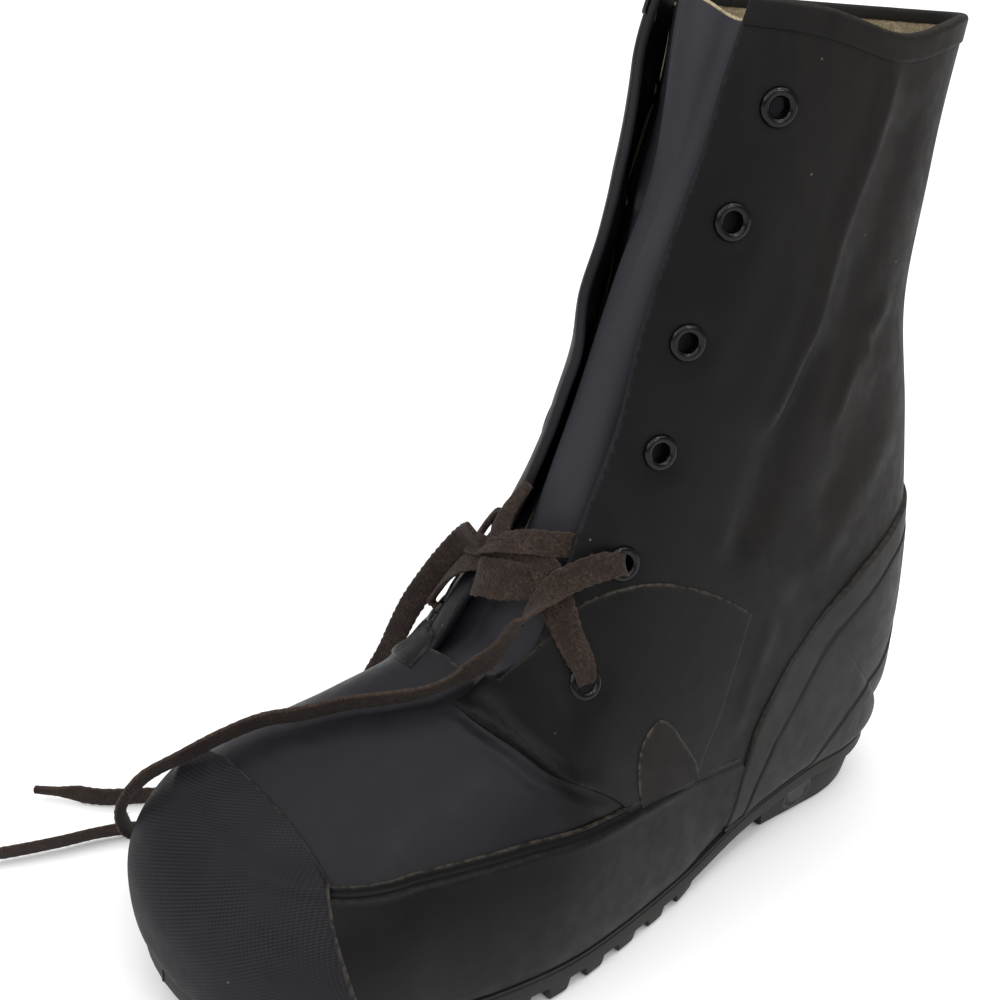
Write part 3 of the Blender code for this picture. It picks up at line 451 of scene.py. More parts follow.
@dataclass
class Skin:
    """The outer face of the upper: the form with its folds, dents and flared flap."""
    last: Last
    creases: tuple[Crease, ...]
    dish_depth: float = 1.1       # the rubber is drawn in round each eyelet
    dish_radius: float = 8.5
    dip: Point = (7.5, 72.0, 26.0)    # the collar's dip behind the main fold: its depth, place and half width
    rubbed_from: float = 1.5      # folds higher than this are rubbed pale
    rubbed_share: float = 0.16
    pushed_back: float = 9.0      # the medial flap behind its edge, towards the collar
    # The medial flap's wavy edge: how far back and outwards it lies at stations up the throat.
    waves: tuple[tuple[float, float, float], ...] = (
        (2.3, 0.0, 0.0), (4.0, 3.5, -1.0), (5.3, 3.0, -1.0), (6.4, 2.5, 0.0), (7.2, 2.5, 0.0), (8.2, 0.0, -3.5),
        (9.2, 0.0, -3.5), (10.4, 1.0, -6.5), (11.5, 3.0, -10.0), (12.2, 4.0, -11.5), (13.0, 5.0, -9.5))
    lines: list = field(default_factory=list)

    def __post_init__(self) -> None:
        """Lays each crease on the form as a close line of points with its strength."""
        for crease in self.creases:
            place = resampled(catmull(self.last.locate(crease.side, crease.points), 60), 0.02)
            line = resampled(self.last.form(crease.side, place[:, 0], place[:, 1]), 1.5)
            share = np.linspace(0, 1, len(line))
            fade = smooth(0, crease.ends, share) * smooth(0, crease.ends, 1 - share)
            self.lines.append((crease, line, fade))
        self.dishes = {side: [self.last.form(side, *place) for place in self.last.eyelets(side)] for side in BOTH}

    @staticmethod
    def beside(flat: Array, line: Array, reach: float) -> Iterator[tuple[Array, Array, Array]]:
        """The points near a line, in blocks small enough to hold in memory.

        Args:
            flat: Rows of points.
            line: Close points along the line.
            reach: How far past the line's own box a point still counts.

        Yields:
            Numbers of the points, of the line's point nearest to each, and the distance to it.
        """
        index = np.nonzero(np.all((flat > line.min(0) - reach) & (flat < line.max(0) + reach), axis=1))[0]
        for part in np.array_split(index, max(1, len(index) // 4000)):
            if len(part):
                gap = np.linalg.norm(flat[part, None, :] - line[None, :, :], axis=-1)
                yield part, gap.argmin(1), gap.min(1)

    def relief(self, side: Side, points: Array) -> Array:
        """Height of the folds and dents over the form, in millimetres.

        Args:
            side: Lateral or medial.
            points: Points of the form, in millimetres.

        Returns:
            Heights in the points' shape.
        """
        flat = points.reshape(-1, 3)
        total = np.zeros(len(flat))
        for crease, line, fade in self.lines:
            if crease.side is side:
                for part, closest, gap in self.beside(flat, line, crease.width * 3):
                    total[part] += crease.height * fade[closest] * np.exp(-(gap / crease.width) ** 2)
        for centre in self.dishes[side]:
            here = np.linalg.norm(flat - centre, axis=1)
            total -= self.dish_depth * np.exp(-(here / self.dish_radius) ** 4)
        # The slow unevenness of a dipped skin.
        x, y, z = flat.T
        total += 0.5 * np.sin(x / 23 + y / 31 + 1.3) * np.sin(y / 37 - z / 27 + 0.4)
        total += 0.25 * np.sin(z / 13 + y / 17 + x / 19)
        return total.reshape(points.shape[:-1])

    def rubbed(self, side: Side, points: Array) -> Array:
        """How far the crests of the sharp folds are rubbed pale.

        Args:
            side: Lateral or medial.
            points: Points of the face, in millimetres.

        Returns:
            Shares in the points' shape.
        """
        flat = points.reshape(-1, 3)
        total = np.zeros(len(flat))
        for crease, line, fade in self.lines:
            if crease.side is side and crease.height > self.rubbed_from:
                for part, closest, gap in self.beside(flat, line, 6.0):
                    total[part] = np.maximum(total[part], fade[closest] * np.exp(-np.maximum(gap - 0.4, 0) ** 2))
        return self.rubbed_share * total.reshape(points.shape[:-1])

    def surface(self, side: Side, station: Array | float, fraction: Array | float,
                lift: Array | float = 0.0) -> Array:
        """Points of the finished outer face, lifted outwards by some millimetres.

        Args:
            side: Lateral or medial.
            station: Stations along the form.
            fraction: Fractions down it.
            lift: How far outwards, in millimetres.

        Returns:
            Points in millimetres, of the arguments' common shape.
        """
        station, fraction = np.broadcast_arrays(np.asarray(station, float), np.asarray(fraction, float))
        points = self.last.form(side, station, fraction)
        normal = self.last.normals(side, station, fraction)
        height = self.relief(side, points)
        calm = np.where(station < HEEL_SEAM, smooth(0.0, 0.1, 1 - fraction), 1.0)
        points = points + normal * (height * calm + np.asarray(lift, float))[..., None]
        if side is Side.MEDIAL:
            points = points + self.waved(station, fraction)
        depth, middle, reach = self.dip
        rise = smooth(11.6, COLLAR, station)
        points[..., 2] -= depth * rise * np.exp(-((points[..., 1] - middle) / reach) ** 2) * (side is L)
        return points

    def waved(self, station: Array | float, fraction: Array | float) -> Array:
        """How far the medial flap's wavy edge lies off the form.

        Args:
            station: Stations along the form.
            fraction: Fractions down it.

        Returns:
            Offsets in millimetres.
        """
        station, fraction = np.broadcast_arrays(np.asarray(station, float), np.asarray(fraction, float))
        share = 1 - smooth(AT_GAP, AT_GAP + 0.09 + 0.2 * smooth(9.0, 11.5, station), fraction)
        line = catmull(self.waves, 90)
        back, out = (np.interp(station, line[:, 0], line[:, k]) * share for k in (1, 2))
        behind = smooth(0.22, 0.36, fraction) * (1 - smooth(0.42, 0.7, fraction))
        back = back + self.pushed_back * smooth(10.0, 12.3, station) * behind
        return np.stack((out, back, 0 * share), -1)


# ---- meshes -----------------------------------------------------------------------------
def placed(name: str, data: bpy.types.ID) -> bpy.types.Object:
    """A new object in the scene, with a mesh, a light or a camera."""
    item = bpy.data.objects.new(name, data)
    bpy.context.scene.collection.objects.link(item)
    return item


class Maker:
    """Collects grids and fans of points, with their coordinates and marks, into one object."""

    def __init__(self, name: str, marks: Sequence[str] = ()) -> None:
        """Starts an empty mesh.

        Args:
            name: The piece's name.
            marks: Names of the per-point values that the material reads.
        """
        self.name, self.mark_names = name, tuple(marks)
        self.points: list[Array] = []
        self.uvs: list[Array] = []
        self.marks: list[Array] = []
        self.faces: list[tuple[int, ...]] = []
        self.face_slots: list[int] = []
        self.count = 0

    def add(self, points: Array, uv: Array | None = None, **marks: Array | float) -> Array:
        """Adds points in millimetres and returns their numbers, in the points' shape.

        Args:
            points: The points.
            uv: Two coordinates for each, where the material reads them.
            **marks: Values of the piece's marks.

        Returns:
            The points' numbers.
        """
        shape = points.shape[:-1]
        size = int(np.prod(shape))
        self.points.append(points.reshape(-1, 3))
        self.uvs.append(np.zeros((size, 2)) if uv is None else uv.reshape(-1, 2))
        self.marks.append(np.stack([np.broadcast_to(np.asarray(marks.get(name, 0.0), float), shape).reshape(-1)
                                    for name in self.mark_names], -1) if self.mark_names else np.zeros((size, 0)))
        numbers = np.arange(self.count, self.count + size).reshape(shape)
        self.count += size
        return numbers

    def weave(self, numbers: Array, slot: int = 0, skip: Array | None = None, wrap: bool = False) -> None:
        """Faces over a grid of point numbers.

        Args:
            numbers: The grid, rows by columns.
            slot: Material slot of the faces.
            skip: True where a face is left out.
            wrap: Joins the last row to the first.
        """
        if wrap:
            numbers = np.vstack((numbers, numbers[:1]))
        a, b, c, d = numbers[:-1, :-1], numbers[1:, :-1], numbers[1:, 1:], numbers[:-1, 1:]
        quads = np.stack((a, b, c, d), -1).reshape(-1, 4)
        if skip is not None:
            quads = quads[~skip.reshape(-1)]
        self.faces.extend(map(tuple, quads.tolist()))
        self.face_slots.extend([slot] * len(quads))

    def fill(self, faces: Iterable[Sequence[int]]) -> None:
        """Single faces, each over its own point numbers."""
        self.faces.extend(map(tuple, faces))
        self.face_slots.extend([0] * (len(self.faces) - len(self.face_slots)))

    def tube(self, numbers: Array, wrap: bool = False) -> None:
        """Faces over closed rings of points.

        Args:
            numbers: The grid of point numbers, one ring to a row.
            wrap: Joins the last ring to the first; without it both ends are closed by a face.
        """
        self.weave(np.hstack((numbers, numbers[:, :1])), wrap=wrap)
        if not wrap:
            self.fill(end.tolist() for end in (numbers[0], numbers[-1][::-1]))

    def build(self, *finishes: "Finish", weld: float = 0.02, smooth_angle: float = 50.0) -> bpy.types.Object:
        """Makes the object, welds its seams, turns its faces outwards and lets it ride.

        Args:
            *finishes: One for each material slot.
            weld: Points nearer than this are joined, in millimetres.
            smooth_angle: Edges sharper than this stay sharp, in degrees.

        Returns:
            The piece.
        """
        mesh = bpy.data.meshes.new(self.name)
        mesh.from_pydata(to_frame(np.vstack(self.points)).tolist(), [], self.faces)
        uvs, marks = np.vstack(self.uvs), np.vstack(self.marks)
        corners = np.empty(len(mesh.loops), int)
        mesh.loops.foreach_get("vertex_index", corners)
        layer = mesh.uv_layers.new(name="lie")
        layer.data.foreach_set("uv", uvs[corners].astype(np.float32).reshape(-1))
        for k, name in enumerate(self.mark_names):
            mark = mesh.attributes.new(name, "FLOAT", "POINT")
            mark.data.foreach_set("value", marks[:, k].astype(np.float32))
        mesh.polygons.foreach_set("material_index", self.face_slots)
        bm = bmesh.new()
        bm.from_mesh(mesh)
        bmesh.ops.remove_doubles(bm, verts=bm.verts, dist=weld * MM)
        bmesh.ops.dissolve_degenerate(bm, dist=1e-6, edges=bm.edges)
        bmesh.ops.recalc_face_normals(bm, faces=bm.faces)
        bm.to_mesh(mesh)
        bm.free()
        for finish in finishes:
            mesh.materials.append(dressed(finish))
        mesh.shade_smooth()
        mesh.set_sharp_from_angle(angle=math.radians(smooth_angle))
        item = placed(self.name, mesh)
        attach(item, "root")
        log.info("%s: %d points, %d faces", self.name, len(mesh.vertices), len(mesh.polygons))
        return item


def rim(maker: Maker, outer: Array, inner: Array, outward: Array, bulge: float, slot: int = 0,
        wrap: bool = False, **marks: float) -> None:
    """A rounded edge between two skins.

    Args:
        maker: The mesh that gets it.
        outer: Points of the outer skin's edge, in millimetres.
        inner: Points of the inner skin's edge.
        outward: Direction in which the edge bulges, at each point.
        bulge: How far it bulges, in millimetres.
        slot: Material slot of its faces.
        wrap: True for a closed edge.
        **marks: Values of the piece's marks along the edge.
    """
    shares = np.array((0.0, 0.1, 0.3, 0.5, 0.7, 0.9, 1.0))
    bow = np.sqrt(np.maximum(1 - (2 * shares - 1) ** 2, 0)) * bulge
    rows = (outer[:, None] + (inner - outer)[:, None] * shares[None, :, None]
            + unit(outward)[:, None] * bow[None, :, None])
    uv = np.stack(np.broadcast_arrays(arc(outer)[:, None], shares[None, :] * 3), -1)
    maker.weave(maker.add(rows, uv, **marks), slot, wrap=wrap)


# ---- finishes ---------------------------------------------------------------------------
Socket = bpy.types.NodeSocket
Adder = Callable[..., Socket]
TIMES, PLUS, TIMES_PLUS, SINE = ({"operation": name} for name in ("MULTIPLY", "ADD", "MULTIPLY_ADD", "SINE"))
EASED, LAYER = {"interpolation_type": "SMOOTHSTEP"}, {"data_type": "RGBA", "out": 2}


def linear(code: str) -> tuple[float, float, float, float]:
    """An sRGB hex colour as linear RGBA."""
    parts = [int(code[k:k + 2], 16) / 255 for k in (1, 3, 5)]
    return (*(c / 12.92 if c <= 0.04045 else ((c + 0.055) / 1.055) ** 2.4 for c in parts), 1.0)


def grain_of(size_mm: float, detail: float = 4.0, roughness: float = 0.55) -> dict[str, float]:
    """A noise's values for clouds or grains of about the given size."""
    return {"Scale": 1 / (size_mm * MM), "Detail": detail, "Roughness": roughness}


def add_node(tree: bpy.types.NodeTree, kind: str, *values: object, named: dict | None = None,
             out: int | str = 0, **settings: object) -> Socket:
    """Adds a node with its settings, values and links.

    Args:
        tree: The material's node tree.
        kind: The node's type, without its common prefix.
        *values: Values, or sockets to link from, of its first inputs in their order.
        named: More of them, by the input's name or number.
        out: The output that is wanted.
        **settings: Properties of the node.

    Returns:
        The wanted output.
    """
    made = tree.nodes.new(f"ShaderNode{kind}")
    for key, value in settings.items():
        setattr(made, key, value)
    for key, value in (*enumerate(values), *(named or {}).items()):
        if isinstance(value, Socket):
            tree.links.new(value, made.inputs[key])
        else:
            made.inputs[key].default_value = value
    return made.outputs[out]


@dataclass(frozen=True)
class Finish:
    """What every finish has: a name, a colour, and how its light is scattered."""
    name: str
    colour: str
    roughness: float
    ior: float = 1.5
    metallic: float = 0.0          # none of the boot's own faces is bare metal
    sheen: float = 0.0
    glint: float = 0.5             # how much of the light its top film sends back; 0.5 is a clean one

    def start(self) -> tuple[bpy.types.Material, Adder, Socket]:
        """A new material with the values that are the same all over it.

        Returns:
            The material, a function that adds a node to it, and where its pieces lie.
        """
        material = bpy.data.materials.new(self.name)
        material.use_nodes = True
        inputs = material.node_tree.nodes["Principled BSDF"].inputs
        for name, value in (("Base Color", linear(self.colour)), ("Roughness", self.roughness),
                            ("Metallic", self.metallic), ("IOR", self.ior), ("Specular IOR Level", self.glint),
                            ("Sheen Weight", self.sheen), ("Sheen Roughness", 0.5)):
            inputs[name].default_value = value
        node = partial(add_node, material.node_tree)
        return material, node, node("TexCoord", out="Object")

    @staticmethod
    def join(material: bpy.types.Material, colour: Socket | None = None, roughness: Socket | None = None,
             normal: Socket | None = None) -> bpy.types.Material:
        """Links what varies over the material to its shader.

        Args:
            material: The material.
            colour: Its base colour, where that varies.
            roughness: Its roughness, where that varies.
            normal: Its bumped normal, where it has one.

        Returns:
            The material.
        """
        tree = material.node_tree
        inputs = tree.nodes["Principled BSDF"].inputs
        for name, socket in (("Base Color", colour), ("Roughness", roughness), ("Normal", normal)):
            if socket is not None:
                tree.links.new(socket, inputs[name])
        return material


@dataclass(frozen=True)
class MouldedRubber(Finish):
    """Black natural rubber, dipped and cured: matt, a little waxy, greying and browning with age."""
    slot: ClassVar[Slot] = Slot.RUBBER
    bloom: str = "#161618"         # the pale waxy film that comes out of old rubber
    patina: str = "#1b1816"        # brown dust rubbed into the shaft
    vamp: str = "#1c1b1f"          # the cooler, dustier dome and tongue; along the flaps' edges, a painted highlight
    raw: str = "#585046"           # cut edges, where the cloth and the glue show
    lint: str = "#8d887c"          # specks of lint and chalk
    knurl_crest_highlight_and_dust: str = "#2f2d31"   # painted highlight on the knurl's crests, with some dust on them
    bloom_share: float = 0.5
    specks: float = 1.0
    knurl_pitch: float = 0.0       # millimetres between the knurl's lines; none at 0
    knurl_leans: tuple[float, float] = (0.62, -1.5)    # of its two sets of lines

    def make(self) -> bpy.types.Material:
        """The material, which reads the marks patina, vamp and raw.

        Returns:
            The material.
        """
        material, node, place = self.start()
        clouds = node("TexNoise", place, named=grain_of(55, 6, 0.62))
        mottle = node("TexNoise", place, named=grain_of(7, 5, 0.6))
        # A dipped skin's grain is a tenth of this, too fine to show, so it is drawn coarser.
        grain = node("TexNoise", place, named=grain_of(0.9, 3, 0.6))
        drawn_out = node("Mapping", place, named={"Scale": (1.0, 1.0, 0.3)})
        streaks = node("TexNoise", drawn_out, named=grain_of(6, 6, 0.66))
        patina, vamp, raw = (node("Attribute", attribute_name=name, out="Fac") for name in MARKS)

        film = node("Math", node("MapRange", clouds, 0.36, 0.7, **EASED),
                    node("MapRange", mottle, 0.25, 0.75, 0.45, 1.0, **EASED), **TIMES)
        colour = node("Mix", node("Math", film, self.bloom_share, **TIMES),
                      named={6: linear(self.colour), 7: linear(self.bloom)}, **LAYER)
        cool = node("Math", vamp, node("MapRange", clouds, 0.2, 0.75, 0.6, 1.0, **EASED), **TIMES)
        colour = node("Mix", cool, named={6: colour, 7: linear(self.vamp)}, **LAYER)
        brown = node("Math", patina, node("MapRange", streaks, 0.3, 0.72, 0.45, 1.0, **EASED), **TIMES)
        colour = node("Mix", brown, named={6: colour, 7: linear(self.patina)}, **LAYER)

        # Specks half a millimetre across, in about one seven-millimetre cell in seven.
        cells = node("TexVoronoi", place, named={"Scale": 1 / (7 * MM)})
        chance = node("Math", node("SeparateColor", cells.node.outputs["Color"]), 0.86, operation="GREATER_THAN")
        speck = node("Math", node("MapRange", cells, 0.07, 0.03, **EASED), chance, **TIMES)
        speck = node("Math", speck, node("MapRange", clouds, 0.42, 0.6, **EASED), **TIMES)
        colour = node("Mix", node("Math", speck, 0.55 * self.specks, **TIMES),
                      named={6: colour, 7: linear(self.lint)}, **LAYER)

        # The cloth shows along a cut edge in broken bits.
        bits = node("TexNoise", place, named=grain_of(2.4, 4))
        cut = node("Math", raw, node("MapRange", bits, 0.38, 0.6, 0.12, 0.9, **EASED), **TIMES)
        colour = node("Mix", cut, named={6: colour, 7: linear(self.raw)}, **LAYER)
        height = grain
        if self.knurl_pitch:
            round_toe = node("SeparateXYZ", node("UVMap", uv_map="lie"))
            down = round_toe.node.outputs["Y"]
            first, second = (node("Math", node("Math", node("Math", round_toe, lean, down, **TIMES_PLUS), math.tau / (
                self.knurl_pitch * math.hypot(1, lean)), **TIMES), **SINE) for lean in self.knurl_leans)
            knurl = node("Math", first, 0.32, node("Math", second, 0.18, **TIMES), **TIMES_PLUS)
            # It is rubbed flat in patches as wide as a finger, and its painted crest highlight fades with them.
            patches = node("TexNoise", place, named=grain_of(16, 3))
            shown = node("Math", knurl, node("MapRange", patches, 0.35, 0.65, 0.3, 1.0, **EASED), **TIMES)
            # The knurl's crests are painted paler: a painted highlight, with some dust.
            colour = node("Mix", node("MapRange", shown, -0.3, 0.5, 0.0, 0.5, **EASED),
                          named={6: colour, 7: linear(self.knurl_crest_highlight_and_dust)}, **LAYER)
            height = node("Math", node("Math", shown, 2.0, **TIMES), grain, **PLUS)
        rough = node("Math", node("MapRange", mottle, 0.2, 0.8, -0.05, 0.07, **EASED), self.roughness, **PLUS)
        rough = node("Math", film, 0.07, node("Math", brown, 0.16, rough, **TIMES_PLUS), **TIMES_PLUS)
        soft = node("Bump", 0.5, 0.22 * MM, named={"Height": mottle})
        return self.join(material, colour, rough,
                         node("Bump", 0.5, 0.09 * MM, named={"Height": height, "Normal": soft}))


@dataclass(frozen=True)
class SoleRubber(Finish):
    """Harder carbon-black rubber, pressed in a steel mould, with dust caught in its grain."""
    slot: ClassVar[Slot] = Slot.SOLE
    dust: str = "#37322b"

    def make(self) -> bpy.types.Material:
        """The material.

        Returns:
            The material.
        """
        material, node, place = self.start()
        clouds = node("TexNoise", place, named=grain_of(18, 6, 0.65))
        # The steel mould's grain is finer than this, and is drawn as coarse as it needs to show.
        grain = node("TexNoise", place, named=grain_of(0.8, 3))
        dusty = node("Math", node("MapRange", clouds, 0.45, 0.75, **EASED),
                     node("MapRange", grain, 0.3, 0.7, 0.3, 0.75, **EASED), **TIMES)
        soft = node("Bump", 0.35, 0.5 * MM, named={"Height": clouds})
        return self.join(
            material, node("Mix", dusty, named={6: linear(self.colour), 7: linear(self.dust)}, **LAYER),
            node("Math", dusty, 0.2, self.roughness, **TIMES_PLUS),
            node("Bump", 0.6, 0.12 * MM, named={"Height": grain, "Normal": soft}))


@dataclass(frozen=True)
class Enamel(Finish):
    """Baked black enamel on stamped brass: a hard glassy skin with small sharp highlights."""
    slot: ClassVar[Slot] = Slot.EYELET
    chip: str = "#6f5a34"

    def make(self) -> bpy.types.Material:
        """The material.

        Returns:
            The material.
        """
        material, node, place = self.start()
        chips = node("MapRange", node("TexNoise", place, named=grain_of(1.5, 4, 0.7)), 0.7, 0.76, **EASED)
        uneven = node("TexNoise", place, named=grain_of(2.5, 3))
        return self.join(
            material, node("Mix", chips, named={6: linear(self.colour), 7: linear(self.chip)}, **LAYER),
            node("MapRange", uneven, 0.3, 0.8, self.roughness, self.roughness + 0.14, **EASED),
            node("Bump", 0.3, 0.05 * MM, named={"Height": node("TexNoise", place, named=grain_of(1.8, 2))}))


@dataclass(frozen=True)
class Cotton(Finish):
    """Flat braided cotton, dyed brown-black, with worn fibres standing off it."""
    slot: ClassVar[Slot] = Slot.LACE
    worn: str = "#42362f"
    deep: str = "#0f0b0a"          # painted shade between the picks
    braid_pitch: float = 1.5       # millimetres from one pick, and from one rib, to the next

    def make(self) -> bpy.types.Material:
        """The material, whose braid follows the lace's own length and width.

        Returns:
            The material.
        """
        material, node, place = self.start()
        along = node("SeparateXYZ", node("UVMap", uv_map="lie"))
        across = along.node.outputs["Y"]
        chevron = node("Math", along, node("Math", across, operation="ABSOLUTE"), **PLUS)
        picks, ribs = (node("Math", node("Math", place_on, math.tau / self.braid_pitch, **TIMES), **SINE)
                       for place_on in (chevron, across))
        fluff = node("TexNoise", place, named=grain_of(1.1, 4, 0.62))
        clouds = node("TexNoise", place, named=grain_of(6, 4))
        worn = node("Math", node("MapRange", fluff, 0.3, 0.8, **EASED),
                    node("MapRange", clouds, 0.3, 0.7, 0.35, 1.0, **EASED), **TIMES)
        edge = node("Math", node("Attribute", attribute_name="edge", out="Fac"), 0.35, **TIMES)
        colour = node("Mix", node("Math", worn, edge, **PLUS),
                      named={6: linear(self.colour), 7: linear(self.worn)}, **LAYER)
        # Painted shade between the braid's picks.
        colour = node("Mix", node("MapRange", picks, -1.0, 1.0, 0.0, 0.2, **EASED),
                      named={6: colour, 7: linear(self.deep)}, **LAYER)
        braid = node("Math", ribs, 0.3, node("Math", picks, 0.5, **TIMES), **TIMES_PLUS)
        soft = node("Bump", 0.6, 0.18 * MM, named={"Height": braid})
        return self.join(material, colour, normal=node("Bump", 0.7, 0.3 * MM, named={"Height": fluff, "Normal": soft}))


@dataclass(frozen=True)
class Fleece(Finish):
    """Wool fleece and its backing cloth: deep, soft and khaki, cream where it has been brushed."""
    slot: ClassVar[Slot] = Slot.BOARD
    pale: str = "#a89a7c"
    deep: str = "#3b3122"          # painted shade between the hairs
    tuft: float = 2.6              # millimetres across one tuft

    def make(self) -> bpy.types.Material:
        """The material, which reads the mark pale.

        Returns:
            The material.
        """
        material, node, place = self.start()
        tufts = node("TexNoise", place, named=grain_of(self.tuft, 3, 0.6))
        # One wool hair is too fine to show, so these are locks of about twenty.
        hairs = node("TexNoise", place, named=grain_of(0.6, 3, 0.7))
        share = node("Math", node("MapRange", tufts, 0.35, 0.75, 0.0, 0.45, **EASED),
                     node("Attribute", attribute_name="pale", out="Fac"), **PLUS)
        colour = node("Mix", share, named={6: linear(self.colour), 7: linear(self.pale)}, **LAYER)
        # Painted shade between the hairs, in the hollows of the hair bump.
        colour = node("Mix", node("MapRange", hairs, 0.6, 0.35, 0.0, 0.5, **EASED),
                      named={6: colour, 7: linear(self.deep)}, **LAYER)
        soft = node("Bump", 0.8, 1.2 * MM, named={"Height": tufts})
        return self.join(material, colour, normal=node("Bump", 0.8, 0.4 * MM, named={"Height": hairs, "Normal": soft}))


@dataclass(frozen=True)
class Backdrop(Finish):
    """Matt white paper sweep under the boot."""

    def make(self) -> bpy.types.Material:
        """The material.

        Returns:
            The material.
        """
        material, node, place = self.start()
        uneven = node("TexNoise", place, named=grain_of(300, 2))
        return self.join(material, roughness=node("MapRange", uneven, 0.3, 0.7, 0.7, 0.8, **EASED))


# Dipped natural rubber: near-black and matt, with a wide soft sheen and brown dust in it.
BOOT_RUBBER = MouldedRubber("moulded_boot_rubber", "#0a0a0b", 0.43, ior=1.52, glint=0.1)
# The same rubber pressed in a knurled mould: drier, with fine crossing lines that read grey, their crests painted
# paler as a highlight.
CAP_RUBBER = MouldedRubber("knurled_cap_rubber", "#100f12", 0.58, ior=1.52, glint=0.08, knurl_pitch=1.15,
                           bloom="#252427")
# A thin smooth sheet, bent often: cooler, greyer and a little shinier than the wall.
TONGUE_RUBBER = MouldedRubber("smooth_tongue_rubber", "#232227", 0.47, ior=1.52, glint=0.14, bloom="#2b2a2f",
                              vamp="#29282d", specks=0.4)
# Heel layers that are scuffed most: a paler, worn film over the black.
COUNTER_RUBBER = MouldedRubber("rubbed_counter_rubber", "#131313", 0.45, ior=1.52, glint=0.13, bloom="#262628",
                               patina="#211e1b", bloom_share=0.8)
# Hard sole compound: dull dark grey, with dust lying in its grain.
TREAD_RUBBER = SoleRubber("moulded_sole_rubber", "#1a1a1b", 0.62, ior=1.52, glint=0.2)
# The same compound over the badge: paler, from dust settled in it and a painted highlight on its raised ring.
BADGE_RUBBER = SoleRubber("dusty_highlit_badge_rubber", "#2a2929", 0.55, ior=1.52, glint=0.25, dust="#4d4a44")
# Baked enamel over stamped brass: deep black with small sharp lights.
EYELET_ENAMEL = Enamel("baked_black_enamel", "#040405", 0.13, ior=1.55, glint=0.2)
# Braided cotton: flat brown-black with a dry, hairy edge.
LACE_COTTON = Cotton("braided_brown_cotton", "#201917", 0.92, sheen=0.05, glint=0.1)
# Wool fleece: soft khaki that glows a little at grazing angles.
LINING_FLEECE = Fleece("khaki_wool_fleece", "#6b5a3c", 0.95, sheen=0.2, glint=0.2)
# Pressed wool felt: the same wool, closer and duller.
INSOLE_FELT = Fleece("pressed_wool_felt", "#5b4d38", 0.97, sheen=0.1, tuft=1.4, glint=0.2)
# Matt paper: white, with no lights of its own.
PAPER = Backdrop("white_paper_sweep", "#f6f6f6", 0.9, glint=0.1)


@cache
def dressed(finish: Finish) -> bpy.types.Material:
    """The finish's material, made once."""
    return finish.make()


# ---- pieces of the upper ----------------------------------------------------------------
FOLDS = (
    # The shaft's main fold, the one behind it, and the dark trough ahead of them.
    Crease(L, ((49, 70, 303), (49, 69, 290), (48, 67, 271), (47, 63, 253), (46, 58, 230), (45, 54, 210),
               (43, 46, 190), (42, 41, 172)), 2.3, 4.2, 0.12),
    Crease(L, ((47, 95, 224), (46, 93, 217), (46, 84, 207), (46, 80, 198), (46, 72, 183), (45, 68, 170)), 1.7, 3.6),
    Crease(L, ((47, 62, 214), (44, 54, 192), (43, 47, 176), (43, 43, 154), (42, 36, 139), (43, 30, 128)), -3.0, 7.0),
    Crease(L, ((48, 84, 290), (48, 82, 262), (47, 77, 236), (46, 70, 214), (45, 62, 196)), -1.8, 8.0),
    Crease(L, ((46, 40, 258), (45, 36, 232), (43, 28, 206), (42, 22, 182)), -0.9, 8.0),
    Crease(L, ((47, 100, 196), (46, 88, 176), (45, 78, 158), (45, 66, 142)), -1.2, 7.0),
    Crease(L, ((46, 112, 178), (46, 98, 156), (46, 84, 136), (46, 70, 118)), 1.1, 6.0),
    # The bend over the instep, in front of the ankle.
    Crease(L, ((42, 20, 150), (44, 34, 136), (46, 52, 122), (46, 70, 112)), 0.9, 6.0),
    # The ridge behind the quarter panel's rear edge.
    Crease(L, ((46, 56, 112), (48, 52, 96), (49, 46, 78), (50, 42, 62)), 0.8, 4.0),
    # The doubled seam where the vamp's wing runs under the quarter.
    Crease(L, ((9, -65, 92), (24, -62, 90), (37, -57, 86), (47, -50, 79), (53, -37, 70), (55, -20, 61)), 1.0, 1.8),
    Crease(L, ((9, -61, 94), (24, -58, 92), (37, -53, 88), (47, -46, 81), (53, -33, 72), (54, -16, 63)), -0.8, 1.4),
    Crease(L, ((14, -58, 95.5), (24, -55, 94), (37.5, -50, 89), (47.5, -43, 82), (53.5, -30, 73)), 1.6, 1.5),
    Crease(L, ((24, -51, 96), (38, -46, 91), (47, -39, 85), (53, -27, 77)), -0.7, 2.6),
    # The inner side's folds, the same but less worked.
    Crease(M, ((-47, 72, 300), (-47, 68, 272), (-46, 62, 240), (-45, 54, 210), (-43, 46, 184)), 1.9, 5.0, 0.15),
    Crease(M, ((-46, 58, 210), (-44, 50, 186), (-43, 42, 160), (-43, 34, 138)), -2.4, 7.5),
    Crease(M, ((-46, 98, 214), (-46, 86, 192), (-45, 74, 170), (-44, 62, 150)), 1.3, 5.0),
    Crease(M, ((-45, 90, 180), (-45, 76, 152), (-44, 62, 130), (-44, 50, 114)), -1.2, 7.0),
    Crease(M, ((-26, -52, 94), (-38, -46, 84), (-46, -36, 75)), 1.2, 3.8),
)


